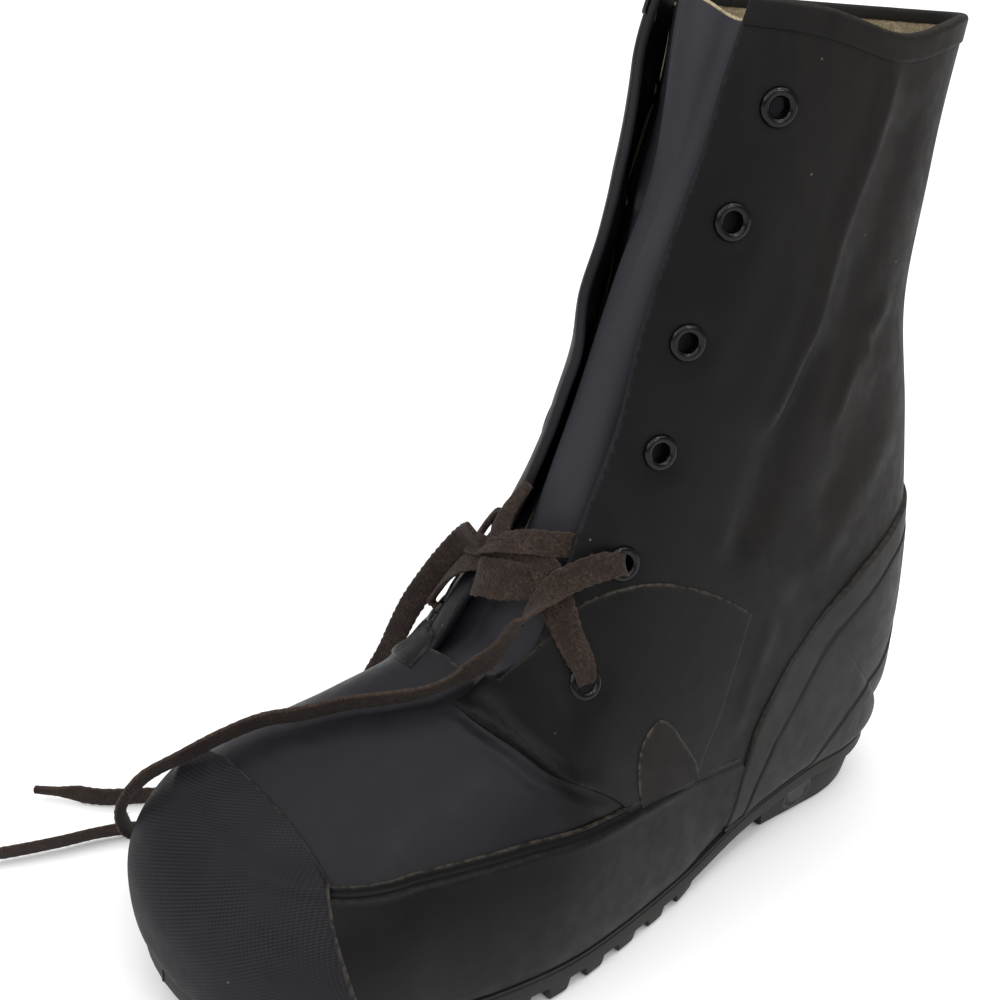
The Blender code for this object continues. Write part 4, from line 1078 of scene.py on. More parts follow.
@dataclass
class Upper:
    """The dipped rubber wall, open at the throat and the collar, with its fleece lining inside."""
    skin: Skin
    wall: float = 3.0
    hole: float = 4.4             # radius of rubber left out behind each eyelet's lips
    binding_height: float = 7.5
    binding_thickness: float = 0.7

    @staticmethod
    def stations(share: float = 1.0) -> Array:
        """Stations of the sections, closer together round the heel.

        Args:
            share: How close, against the outer face's sections.

        Returns:
            Rising stations.
        """
        toe = np.linspace(TOE, 0, int(34 * share))
        foot = np.linspace(0, HEEL_SEAM - 1, int(130 * share))
        heel = HEEL_SEAM - 1 + np.sin(np.linspace(0, math.pi / 2, int(38 * share)))
        shaft = np.linspace(HEEL_SEAM, COLLAR, int(150 * share))
        return np.unique(np.round(np.concatenate((toe, foot, heel, shaft, [THROAT_BASE])), 6))

    @staticmethod
    def fractions(share: float = 1.0) -> Array:
        """Fractions of the points down each section.

        Args:
            share: How close, against the outer face's points.

        Returns:
            Rising fractions.
        """
        parts = (np.linspace(0, AT_GAP, int(12 * share)), np.linspace(AT_GAP, AT_WIDEST, int(64 * share)),
                 np.linspace(AT_WIDEST, 1, int(40 * share)))
        return np.unique(np.round(np.concatenate(parts), 6))

    @staticmethod
    def marks(points: Array, station: Array) -> dict[str, Array]:
        """How brown and how cool the rubber is at each point.

        Args:
            points: Points in millimetres.
            station: The station of each.

        Returns:
            The marks patina and vamp.
        """
        y, z = points[..., 1], points[..., 2]
        shaft = smooth(18, 82, y + 0.18 * (z - 180)) * smooth(62, 150, z)
        above = 0.75 * smooth(4, 46, y) * smooth(126, 138, z) * (1 - smooth(165, 215, z))
        heel = 0.45 * smooth(28, 48, y) * (1 - smooth(95, 130, z))
        return {"patina": np.clip(np.maximum(np.maximum(shaft, above), heel), 0, 1),
                "vamp": (1 - smooth(1.9, 2.5, station)) * np.ones_like(y)}

    def build(self) -> None:
        """The wall, the lining and the collar's binding."""
        self.build_wall()
        self.build_lining()
        self.build_binding()

    def build_wall(self) -> None:
        """The outer face and the rounded edges of the throat and the collar."""
        maker = Maker("upper_wall", MARKS)
        stations, fractions = self.stations(), self.fractions()
        s, f = stations[:, None], fractions[None, :]
        for side in BOTH:
            points = self.skin.surface(side, s, f)
            skip = self.throat(stations, fractions) | self.holes(side, points, self.hole)
            maker.weave(maker.add(points, raw=self.skin.rubbed(side, points), **self.marks(points, s)), skip=skip)
            self.build_edges(maker, side, stations)
        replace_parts(maker.build(BOOT_RUBBER), "upper")

    @staticmethod
    def throat(stations: Array, fractions: Array) -> Array:
        """Which faces of a grid lie in the open throat."""
        return (stations[:-1, None] >= THROAT_BASE) & (fractions[None, 1:] <= AT_GAP + 1e-6)

    def holes(self, side: Side, points: Array, radius: float) -> Array:
        """Which faces of a grid are left out round the eyelets.

        Args:
            side: Lateral or medial.
            points: The grid's points, in millimetres.
            radius: Of the hole round each eyelet's middle.

        Returns:
            True for each face that is left out.
        """
        middle = (points[:-1, :-1] + points[1:, 1:]) / 2
        centres = (self.skin.surface(side, *place) for place in self.skin.last.eyelets(side))
        return np.any([np.linalg.norm(middle - centre, axis=-1) < radius for centre in centres], axis=0)

    def build_edges(self, maker: Maker, side: Side, stations: Array) -> None:
        """The throat's and the collar's edges on one side.

        Args:
            maker: The wall's mesh.
            side: Lateral or medial.
            stations: The wall's sections.
        """
        up = stations[stations >= THROAT_BASE]
        outer = self.skin.surface(side, up, AT_GAP)
        inner = self.skin.surface(side, up, AT_GAP, -self.wall)
        ahead = outer - self.skin.surface(side, up, AT_GAP + 0.02)
        # The flaps' edges take the paler vamp tone all the way up: a painted highlight along them.
        rim(maker, outer, inner, ahead, 0.9, vamp=1.0)
        down = self.fractions()[self.fractions() >= AT_GAP]
        top = np.full(len(down), COLLAR)
        outer, inner = (self.skin.surface(side, top, down, lift) for lift in (0.0, -self.wall))
        rim(maker, outer, inner, outer - self.skin.surface(side, top - 0.05, down), 0.6, patina=0.4)
        front = self.fractions()[self.fractions() <= AT_GAP]
        base = np.full(len(front), THROAT_BASE)
        outer, inner = (self.skin.surface(side, base, front, lift) for lift in (0.0, -self.wall))
        rim(maker, outer, inner, outer - self.skin.surface(side, base - 0.05, front), 0.5, raw=0.5, vamp=1.0)

    def build_lining(self) -> None:
        """The fleece face inside, with brushed wool along the collar."""
        maker = Maker("fleece_lining", ("pale",))
        stations, fractions = self.stations(0.5), self.fractions(0.5)
        s, f = stations[:, None], fractions[None, :]
        for side in BOTH:
            rough = 0.5 * (hashed(s * 31.7 + 0 * f, f * 57.1 + 0 * s) - 0.5) * smooth(11.8, 12.7, s)
            points = self.skin.surface(side, s, f, -self.wall + rough)
            skip = self.throat(stations, fractions) | self.holes(side, points, self.hole + 1.6)
            flap = 1 - smooth(AT_GAP + 0.08, AT_GAP + 0.2, f)
            maker.weave(maker.add(points, pale=0.5 * smooth(12.2, 13.0, s) * (1 - flap)), skip=skip)
        maker.build(LINING_FLEECE)
        for side in BOTH:
            self.build_facing(side)

    def build_facing(self, side: Side) -> None:
        """The smooth black facing inside each flap, behind the eyelets.

        Args:
            side: Lateral or medial.
        """
        maker = Maker(f"flap_facing_{side.name.lower()}", MARKS)
        stations = np.linspace(THROAT_BASE + 0.2, COLLAR, 190)
        fractions = np.linspace(AT_GAP + 0.004, AT_GAP + (0.4 if side is M else 0.17), 48 if side is M else 22)
        s, f = stations[:, None], fractions[None, :]
        lift = -self.wall - 0.45 * smooth(0, 0.012, f - fractions[0]) * smooth(0, 0.012, fractions[-1] - f)
        points = self.skin.surface(side, s, f, lift)
        maker.weave(maker.add(points), skip=self.holes(side, points, self.hole + 1.0))
        maker.build(BOOT_RUBBER)

    def build_binding(self) -> None:
        """The strip of rubber folded over the collar."""
        maker = Maker("collar_binding", MARKS)
        depths = np.array((self.binding_height, self.binding_height - 0.2, self.binding_height - 0.7, 5.8, 4.4, 3.0,
                           1.2, 0.3, 0.0))
        lifts = np.array((0.02, 0.6, 1.0, 1.0, 1.0, 1.0, 1.0, 1.0, 0.9)) * self.binding_thickness
        down = np.unique(np.round(np.linspace(AT_GAP, 1, 170), 6))
        for side in BOTH:
            along, _ = self.skin.last.slopes(side, np.full(len(down), 12.6), down)
            length = np.linalg.norm(along, axis=-1)
            s = COLLAR - depths[None, :] / length[:, None]
            outer = self.skin.surface(side, s, down[:, None], lifts[None, :])
            inside = self.skin.surface(side, np.full(len(down), COLLAR), down, -self.wall - 0.3)
            upward = unit(outer[:, -1] - outer[:, -3])
            steps = np.linspace(0.12, 1.0, 6)
            over = (outer[:, -1:, :] + (inside - outer[:, -1])[:, None, :] * steps[None, :, None]
                    + upward[:, None, :] * (1.3 * np.sqrt(np.maximum(1 - (2 * steps - 1) ** 2, 0)))[None, :, None])
            low = self.skin.surface(side, COLLAR - 3.0 / length, down, -self.wall - 0.3)
            points = np.concatenate((outer, over, low[:, None, :]), axis=1)
            worn = np.concatenate((np.zeros(8), [0.05, 0.1, 0.14, 0.12, 0.1, 0.05, 0.0, 0.0]))
            marks = self.marks(points, s[:, :1])
            marks["vamp"] = 0.0
            maker.weave(maker.add(points, raw=worn[None, :], **marks))
        maker.build(BOOT_RUBBER)


@dataclass(frozen=True)
class Run:
    """One smooth edge of a panel, through points on one side, and how much of it is raw."""
    points: tuple[Point, ...]
    raw: float = 0.0


@dataclass
class Panel:
    """A thin sheet of rubber cemented over the upper, with a rounded edge."""
    name: str
    skin: Skin
    side: Side
    runs: tuple[Run, ...]
    thickness: float = 0.9
    base_lift: float = 0.0
    spacing: float = 2.4
    edge_spacing: float = 1.1
    patina: float = 0.0
    round_over: float = 1.0

    def build(self) -> bpy.types.Object:
        """Fills the outline with triangles laid on the skin.

        Returns:
            The piece.
        """
        last = self.skin.last
        chain, raws = [], []
        for run in self.runs:
            place = catmull(last.locate(self.side, run.points), 12 * len(run.points))
            line = last.form(self.side, place[:, 0], place[:, 1])
            along = arc(line)
            even = np.linspace(0, along[-1], max(3, int(along[-1] / self.edge_spacing)))[:-1]
            chain.append(respaced(place, along, even))
            raws.append(np.full(len(even), run.raw * 0.6))
        loop, raw = np.vstack(chain), np.concatenate(raws)
        flat = last.form(self.side, loop[:, 0], loop[:, 1])
        tangent = unit(np.roll(flat, -1, 0) - np.roll(flat, 1, 0))
        normal = last.normals(self.side, loop[:, 0], loop[:, 1])
        inward = np.cross(normal, tangent)
        if (inward * (flat.mean(0) - flat)).sum() < 0:
            inward = -inward
        rings = ((0.0, 0.0, 1.0), (0.12, 0.55, 1.0), (0.4, 0.88, 0.75), (1.0, 1.0, 0.12), (2.0, 1.0, 0.0))
        places = [loop + last.moved(self.side, loop, inward * (inset * self.round_over)) for inset, _, _ in rings]
        lifts = [np.full(len(loop), share) for _, share, _ in rings]
        raws = [raw * share for _, _, share in rings]
        scale = np.array([np.linalg.norm(part, axis=-1).mean() for part in last.slopes(self.side, *loop.T)])
        flat_loop = loop * scale
        low, high = flat_loop.min(0), flat_loop.max(0)
        u, v = np.meshgrid(np.arange(low[0], high[0], self.spacing), np.arange(low[1], high[1], self.spacing),
                           indexing="ij")
        inner = np.stack((u.ravel(), v.ravel()), -1)
        clear = np.array([np.min(((flat_loop - point) ** 2).sum(-1)) for point in inner])
        inner = inner[self.inside(inner, flat_loop) & (clear > (2.0 * self.round_over + 1.2) ** 2)]
        places.append(inner / scale)
        lifts.append(np.ones(len(inner)))
        raws.append(np.zeros(len(inner)))
        place, lift, cut = np.vstack(places), np.concatenate(lifts), np.concatenate(raws)
        keep = np.ones(len(place), bool)
        keep[len(loop):] = self.inside(place[len(loop):] * scale, flat_loop)
        place, lift, cut = place[keep], lift[keep], cut[keep]
        edges = [(k, (k + 1) % len(loop)) for k in range(len(loop))]
        verts, _, faces, sources, _, _ = geometry.delaunay_2d_cdt(
            [Vector(point) for point in place * scale], edges, [list(range(len(loop)))], 1, 1e-4)
        source = np.array([ids[0] if ids else 0 for ids in sources])
        where = np.array([tuple(vert) for vert in verts]) / scale
        maker = Maker(self.name, MARKS)
        points = self.skin.surface(self.side, where[:, 0], where[:, 1],
                                   self.base_lift - 0.15 + lift[source] * (self.thickness + 0.15))
        marks = Upper.marks(points, np.full(len(points), 5.0))
        marks["patina"] = np.clip(marks["patina"] * 0.8 + self.patina, 0, 1)
        maker.add(points, raw=cut[source], **marks)
        maker.fill(faces)
        return maker.build(BOOT_RUBBER, weld=0.005, smooth_angle=70)

    @staticmethod
    def inside(points: Array, loop: Array) -> Array:
        """Whether each point lies inside a closed loop.

        Args:
            points: Rows of two coordinates.
            loop: The loop's corners in their order.

        Returns:
            True for each point inside.
        """
        a, b = loop, np.roll(loop, -1, 0)
        result = np.zeros(len(points), bool)
        for (ax, ay), (bx, by) in zip(a, b):
            crosses = (ay > points[:, 1]) != (by > points[:, 1])
            x = (bx - ax) * (points[:, 1] - ay) / (by - ay if by != ay else 1e-9) + ax
            result ^= crosses & (points[:, 0] < x)
        return result


def quarter_panel(skin: Skin) -> Panel:
    """The outer quarter: from the throat over the lower eyelet, back to the waist, down to the band."""
    return Panel("quarter_panel_lateral", skin, L, (
        Run(((15, -48, 103), (18, -47.6, 103.4), (21, -47, 104)), 0.5),
        Run(((21, -47, 104), (24, -44, 109), (27, -41, 114), (29, -35, 121), (31, -29, 128)), 0.9),
        Run(((31, -29, 128), (33, -24, 131), (37, -13, 133.5), (40, 1, 133), (43, 16, 128), (44, 30, 121),
             (45, 44, 112)), 1.0),
        Run(((45, 44, 112), (47, 40, 101), (48, 36, 89), (49, 31, 76), (50, 25, 66), (51, 19, 54)), 0.12),
        Run(((51, 19, 54), (52, 5, 54), (53, -8, 55), (54, -16, 56)), 0.0),
        Run(((54, -16, 56), (54, -20, 64), (52, -33, 74), (47, -46, 82), (37, -53, 89), (24, -58, 93),
             (12, -60, 95)), 0.1),
        Run(((12, -60, 95), (13, -54, 98), (15, -48, 103)), 0.4),
    ), thickness=0.8)


def medial_panel(skin: Skin) -> Panel:
    """The inner quarter, the outer one's twin."""
    return Panel("quarter_panel_medial", skin, M, (
        Run(((-16, -48, 103), (-19, -47.5, 103.5), (-22, -46, 104)), 0.5),
        Run(((-22, -46, 104), (-26, -41, 114), (-30, -30, 127)), 0.9),
        Run(((-30, -30, 127), (-33, -22, 131), (-37, -10, 132), (-40, 4, 131), (-42, 20, 125), (-43, 42, 110)), 1.0),
        Run(((-43, 42, 110), (-45, 36, 89), (-46, 28, 68), (-46, 22, 54)), 0.12),
        Run(((-46, 22, 54), (-47, 4, 54), (-49, -16, 56)), 0.0),
        Run(((-49, -16, 56), (-49, -24, 66), (-45, -42, 80), (-36, -52, 89), (-24, -57, 93), (-13, -59, 95)), 0.1),
        Run(((-13, -59, 95), (-14, -54, 98), (-16, -48, 103)), 0.4),
    ), thickness=1.0)


def side_tab(skin: Skin, side: Side) -> Panel:
    """The half-round tab that covers the joint of the vamp, the quarter and the band."""
    x = side.value
    return Panel(f"side_tab_{side.name.lower()}", skin, side, (
        Run(((x * 54, -9.5, 57), (x * 53, -11, 66), (x * 52, -11, 74), (x * 51, -8.5, 81), (x * 50, -3.5, 85.5),
             (x * 49.5, 1, 86), (x * 49.5, 6, 82), (x * 50, 10.5, 75.5), (x * 51, 15.5, 68.5), (x * 51, 19, 63),
             (x * 52, 21, 56)), 1.0),
        Run(((x * 52, 21, 56), (x * 53, 6, 56), (x * 54, -9.5, 57)), 0.0),
    ), thickness=0.7, base_lift=0.75, patina=0.9, spacing=1.8)


@dataclass
class BackStay:
    """The strip over the back seam, from the heel counter to the collar."""
    skin: Skin
    ends: tuple[float, float] = (8.9, 12.55)      # stations
    half: float = 13.0
    thickness: float = 0.9
    # From its edge to the seam: share of the half width, share of the thickness, how raw.
    profile: tuple[Point, ...] = ((-1.0, 0.0, 0.35), (-0.985, 0.6, 0.35), (-0.94, 0.92, 0.2), (-0.85, 1.0, 0.0),
                                  (-0.6, 1.0, 0.0), (-0.3, 1.0, 0.0), (0.0, 1.0, 0.0))

    def build(self) -> None:
        """The strip, half of it on each side of the seam."""
        maker = Maker("back_stay", MARKS)
        stations = np.linspace(*self.ends, 120)
        across, lifts, raw = np.array(self.profile).T
        for side in BOTH:
            _, down = self.skin.last.slopes(side, stations, np.full(len(stations), 0.97))
            reach = self.half / np.linalg.norm(down, axis=-1)
            f = 1 + reach[:, None] * across[None, :]
            points = self.skin.surface(side, stations[:, None], f, (lifts * self.thickness)[None, :])
            maker.weave(maker.add(points, raw=raw[None, :], **Upper.marks(points, stations[:, None])))
        maker.build(BOOT_RUBBER)


# ---- the band, the cap and the counter --------------------------------------------------
BAND_EDGE = ((-1.0, 65), (0.0, 67), (1.5, 66), (3.0, 63), (4.0, 60), (5.0, 54), (5.6, 50))
BAND_SEAT, BAND_THICK, CAP_SEAT, CAP_THICK = 0.45, 2.2, 0.7, 1.0
COUNTER_EDGES = (
    ((43, 8), (45, 20), (47, 30), (48.5, 43), (53, 60), (58, 69), (69, 85), (86, 101), (102, 115), (125, 128),
     (150, 136), (165, 138)),
    ((54, 8), (58, 32), (60, 38), (67, 52), (75, 63), (88, 81), (106, 99), (123, 112), (145, 121), (165, 124)),
    ((94, 22), (104, 37), (114, 46), (133, 60), (141, 70), (152, 80), (165, 86)),
)


def edge_fraction(last: Last, side: Side, station: float, table: Sequence[tuple[float, float]]) -> float:
    """The fraction down a section where it crosses a line drawn in the side view.

    Args:
        last: The form.
        side: Lateral or medial.
        station: The section.
        table: Distance back against height, in millimetres.

    Returns:
        The fraction, or 1 where the line runs below the section.
    """
    fractions = np.linspace(AT_GAP, 1.0, 500)
    line = last.form(side, np.full(500, station), fractions)
    gap = line[:, 2] - np.interp(line[:, 1], *zip(*table))
    if gap.min() >= 0:
        return 1.0
    k = max(int(np.argmax(gap < 0)), 1)
    return float(fractions[k - 1] + (fractions[k] - fractions[k - 1]) * max(gap[k - 1], 0) / (gap[k - 1] - gap[k]))


def band_top(last: Last, side: Side, station: float) -> float:
    """The fraction down a section where the band's upper edge runs."""
    return last.fraction_at(side, station, 2, float(np.interp(station, *zip(*BAND_EDGE))))


def standing(last: Last, side: Side, station: float, row: Array) -> Array:
    """A section's points, none of them below the feather line."""
    row[:, 2] = np.maximum(row[:, 2], last.form(side, station, 1.0)[2])
    return row


def walked(last: Last, side: Side, station: float, start: float, stop: float,
           distances: Array) -> Array:
    """Fractions at given distances from a start, kept short of a stop, in millimetres.

    Args:
        last: The form.
        side: Lateral or medial.
        station: The section.
        start: The fraction to start from.
        stop: The fraction to stop at.
        distances: How far down from the start.

    Returns:
        A fraction for each distance.
    """
    fractions = np.linspace(start, stop, 120)
    along = arc(last.form(side, np.full(120, station), fractions))
    return np.interp(np.minimum(distances, along[-1]), along, fractions)


@dataclass
class Band:
    """The rubber band round the foot: a thin upper line, a groove, then a proud rounded lip."""
    last: Last
    # Distance down from the edge, height off the band's seat, how raw.
    profile: tuple[tuple[float, float, float], ...] = (
        (0.0, -0.35, 0.45), (0.1, 0.4, 0.45), (0.45, 0.7, 0.3), (0.9, 0.65, 0.1), (1.4, 0.4, 0.0), (2.2, 0.05, 0.0),
        (2.9, 0.1, 0.0), (3.4, 0.9, 0.0), (3.9, 1.75, 0.05), (4.6, 2.3, 0.06), (5.4, 2.5, 0.02), (6.4, 2.3, 0.0),
        (8.0, 2.15, 0.0))

    def build(self) -> None:
        """The band, from its end under the counter round the toe to the other end."""
        maker = Maker("foot_band", MARKS)
        stations = np.concatenate((np.linspace(TOE, 0, 64), np.linspace(0, 5.16, 150)[1:]))
        depth, lift, raw = np.array(self.profile).T
        more = np.linspace(0, 1, 14)[1:]
        lines, raws = [], []
        for side, order in ((L, stations[::-1]), (M, stations[1:])):
            for station in order:
                start = band_top(self.last, side, station)
                stop = self.last.foot(side, station, BAND_SEAT + BAND_THICK)
                top = walked(self.last, side, station, start, stop, depth)
                f = np.concatenate((top, top[-1] + (stop - top[-1]) * more))
                # Its face was rolled down by hand, so it waves a little.
                wave = 0.12 * math.sin(station * 5.0) + 0.04 * math.sin(station * 17.0 + 1)
                lifts = np.concatenate((lift, BAND_THICK + wave * np.sin(more * math.pi)))
                # It thins out towards its end under the counter.
                lifts = lifts * (1 - 0.8 * smooth(3.9, 4.66, station))
                lines.append(standing(self.last, side, station, self.last.lifted(side, station, f, BAND_SEAT + lifts)))
                raws.append(np.concatenate((raw, np.zeros(len(more)))))
        points = np.array(lines)
        marks = Upper.marks(points, np.full(points.shape[:2], 5.0))
        maker.weave(maker.add(points, raw=np.array(raws), **marks))
        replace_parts(maker.build(BOOT_RUBBER, smooth_angle=75), "foxing")


@dataclass
class ToeCap:
    """The knurled rubber cap moulded over the toe and over the front of the band."""
    last: Last
    edge_y: float = -119.0
    end_station: float = -0.3

    def build(self) -> None:
        """The cap, with a thin raw edge behind."""
        maker = Maker("knurled_toe_cap", MARKS)
        stations = np.linspace(TOE, self.end_station, 100)
        over, on_band = CAP_SEAT + CAP_THICK, BAND_SEAT + BAND_THICK + 0.3 + CAP_THICK
        distances = np.array((0.0, 0.15, 0.5, 1.1))
        lines = []
        for side, order in ((L, stations[::-1]), (M, stations[1:])):
            for station in order:
                band = band_top(self.last, side, station)
                foot = self.last.foot(side, station, BAND_SEAT + BAND_THICK)
                edge = min(self.last.fraction_at(side, station, 1, self.edge_y, 0.0, AT_WIDEST), band - 0.004)
                if station <= TOE + 1e-6:
                    edge = min(edge, band - 0.065)
                near = walked(self.last, side, station, edge, foot, distances)
                f = np.concatenate((near, np.linspace(near[-1], foot, 64)[1:]))
                climb = smooth(band - 0.05, band + 0.006, f)
                lip = np.exp(-((f - band - 0.02) / 0.016) ** 2) * (0.2 + 0.9 * smooth(-0.8, -0.45, station))
                lift = over + (on_band - over) * climb + lip
                side_edge = smooth(0.0, 0.02, self.end_station - station)
                lift = lift - (CAP_THICK + 0.25) * (1 - side_edge)
                lift[:4] = np.minimum(lift[:4], np.array((0.1, 1.1, 1.55, over)))
                # Over the band its edge leans back.
                lean = 0.13 * ((station - TOE) / (self.end_station - TOE)) ** 3 * smooth(band, foot, f)
                lines.append(standing(self.last, side, station, self.last.lifted(side, station + lean, f, lift)))
        points = np.array(lines)
        # The knurl's sheet is laid from the tip back: one coordinate round the toe, one down it.
        round_toe = np.cumsum(np.concatenate((np.zeros((1, points.shape[1])),
                                              np.linalg.norm(np.diff(points, axis=0), axis=-1))), axis=0)
        round_toe -= round_toe[len(lines) // 2]
        down = np.cumsum(np.concatenate((np.zeros((len(lines), 1)),
                                         np.linalg.norm(np.diff(points, axis=1), axis=-1)), axis=1), axis=1)
        down = down[:, -1:] - down
        raw = np.zeros(points.shape[:2])
        raw[:, :3] = (0.55, 0.5, 0.25)
        raw[:2] = np.maximum(raw[:2], 0.5)
        raw[-2:] = np.maximum(raw[-2:], 0.5)
        maker.weave(maker.add(points, np.stack((round_toe, down), -1), raw=raw, vamp=0.0))
        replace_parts(maker.build(CAP_RUBBER, smooth_angle=80), "toe_cap")


@dataclass
class HeelCounter:
    """The stepped layers of rubber round the back of the heel."""
    last: Last
    seat: float = 0.75
    steps: tuple[float, ...] = (0.6, 0.6, 0.5)

    def build(self) -> None:
        """Three layers in one skin, each ending in a rounded step."""
        maker = Maker("heel_counter_layers", MARKS)
        stations = np.unique(np.concatenate((
            np.linspace(4.66, 6, 60), HEEL_SEAM - 1 + np.sin(np.linspace(0, math.pi / 2, 44)),
            np.linspace(HEEL_SEAM, 9.5, 90))))
        near = np.array((0.0, 0.12, 0.4, 1.0))
        share = np.array((0.0, 0.6, 0.9, 1.0))
        for side in BOTH:
            lines, raws = [], []
            for station in stations:
                foot = self.last.foot(side, station, self.seat + sum(self.steps))
                cuts = [min(edge_fraction(self.last, side, station, table), foot) for table in COUNTER_EDGES]
                f, lift, raw, height = [], [], [], self.seat - 1.2
                for k, cut in enumerate(cuts):
                    stop = cuts[k + 1] if k + 1 < len(cuts) else foot
                    rise = self.steps[k] + (1.2 if k == 0 else 0.0)
                    part = walked(self.last, side, station, cut, stop, near)
                    f += [part, np.linspace(part[-1], stop, 14)[1:]]
                    lift += [height + rise * share, np.full(13, height + rise)]
                    height += rise
                    # A shallow groove runs ahead of the next step.
                    if k + 1 < len(cuts):
                        lift[-1][-3:] -= np.array((0.1, 0.25, 0.3))
                        height -= 0.3
                    raw += [np.array((0.22, 0.2, 0.1, 0.0)) * (1.0 if k == 0 else 0.35), np.zeros(13)]
                f, lift = np.concatenate(f), np.concatenate(lift)
                row = self.last.lifted(side, station, f, lift)
                lines.append(standing(self.last, side, station, row) if station <= HEEL_SEAM else row)
                raws.append(np.concatenate(raw))
            points = np.array(lines)
            marks = Upper.marks(points, np.full(points.shape[:2], 5.0))
            maker.weave(maker.add(points, raw=np.array(raws), **marks))
        piece = maker.build(COUNTER_RUBBER, weld=0.03, smooth_angle=75)
        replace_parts(piece, "heel_counter")


# ---- the tongue and the eyelets ---------------------------------------------------------
@dataclass
class Tongue:
    """The padded tongue behind the throat: smooth rubber outside, fleece inside."""
    skin: Skin
    thickness: float = 2.2
    front: float = 1.5
    top: float = 12.74
    edge: float = 0.42
    forward: float = 4.5          # how far its top stands forward on the inner side
    rise: float = 8.5             # how much higher its top is there
    depths: tuple[tuple[float, float], ...] = (
        (-0.42, 4.4), (-0.36, 6.5), (-0.27, 8.0), (-0.20, 11.0), (-0.10, 12.0), (0.0, 11.0), (0.10, 8.8), (0.20, 7.4),
        (0.27, 6.8), (0.36, 6.5), (0.42, 4.4))

    def face(self, stations: Array, places: Array) -> Array:
        """The tongue's outer face, at a depth under the closed front.

        Args:
            stations: Its rows.
            places: Its columns: fractions, negative on the medial side.

        Returns:
            A grid of points, in millimetres.
        """
        grid = []
        for station in stations:
            shown = np.clip((station - 1.9) / 0.5, 0, 1)
            shallow = self.depths[-1][1]
            depth = shallow + (np.interp(places, *zip(*self.depths)) - shallow) * shown
            # Two soft channels down its length, and a little bagging.
            depth = depth + 0.5 * np.exp(-((places - 0.13) / 0.03) ** 2) * shown
            depth = depth + 0.3 * math.sin(station * 2.1) * np.cos(places * 9) * shown
            # Towards its top it stands forward on the inner side, as far as the flap's edge.
            stands = (1 - smooth(0.0, 0.16, places)) * (1 - smooth(0.15, 0.25, -places))
            depth = depth - self.forward * smooth(10.2, 12.3, station) * stands
            grid.append(self.under(station, places, depth))
        return np.array(grid)

    def under(self, station: float, places: Array, depth: Array) -> Array:
        """Points at a depth under the throat, level behind the slack flap.

        Args:
            station: The row.
            places: Its columns.
            depth: How deep each lies, in millimetres.

        Returns:
            A row of points, in millimetres.
        """
        last, rows = self.skin.last, []
        across = np.full(len(places), station)
        level = last.one_side(L, across, np.full(len(places), 0.01))
        for side, share in ((L, smooth(0.0, 0.12, places)), (M, smooth(0.14, 0.29, -places))):
            own = last.normals(side, across, np.abs(places))
            direction = unit(level + (own - level) * share[:, None])
            rows.append(last.form(side, across, np.abs(places)) - direction * depth[:, None])
        # Its inner wing moves with the flap that hangs over it.
        rows[1] += self.skin.waved(station, np.abs(places)) * smooth(0.2, 0.3, -places)[:, None]
        return np.where((places >= 0)[:, None], *rows)

    def build(self) -> None:
        """The tongue's two faces and its rounded edge."""
        maker = Maker("tongue_cover", (*MARKS, "pale"))
        stations = np.linspace(self.front, self.top, 170)
        places = np.linspace(-self.edge, self.edge, 61)
        outer = self.face(stations, places)
        facing = unit(np.cross(np.gradient(outer, axis=0), np.gradient(outer, axis=1)))
        facing *= -np.sign(facing[len(stations) // 2, len(places) // 2, 1])
        # It is thin where it folds back under the inner flap.
        fold = smooth(0.1, 0.15, -places) * (1 - smooth(0.3, 0.36, -places))
        fold = fold[None, :] * (1 - smooth(12.1, self.top, stations))[:, None]
        inner = outer - facing * self.thickness * (1 - 0.85 * fold)[..., None]
        # Its top edge slopes up towards the inner side.
        slope = (1 - smooth(-0.1, 0.22, places)) * (1 - 0.75 * smooth(0.2, 0.34, -places))
        rise = self.rise * smooth(11.0, self.top, stations)[:, None] * slope[None, :]
        outer[..., 2] += rise
        inner[..., 2] += rise
        lie = np.stack(np.broadcast_arrays(stations[:, None] * 22, places[None, :] * 120), -1)
        maker.weave(maker.add(outer, lie, vamp=0.9))
        maker.weave(maker.add(inner, lie, pale=0.1 + 0.5 * smooth(12.2, 12.7, stations)[:, None]), slot=1)
        rim(maker, outer[-1], inner[-1], outer[-1] - outer[-2], 1.0, slot=1, pale=0.75)
        for column in (0, -1):
            rim(maker, outer[:, column], inner[:, column],
                outer[:, column] - outer[:, 1 if column == 0 else -2], 0.6, vamp=0.5)
        piece = maker.build(TONGUE_RUBBER, LINING_FLEECE)
        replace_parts(piece, "tongue")


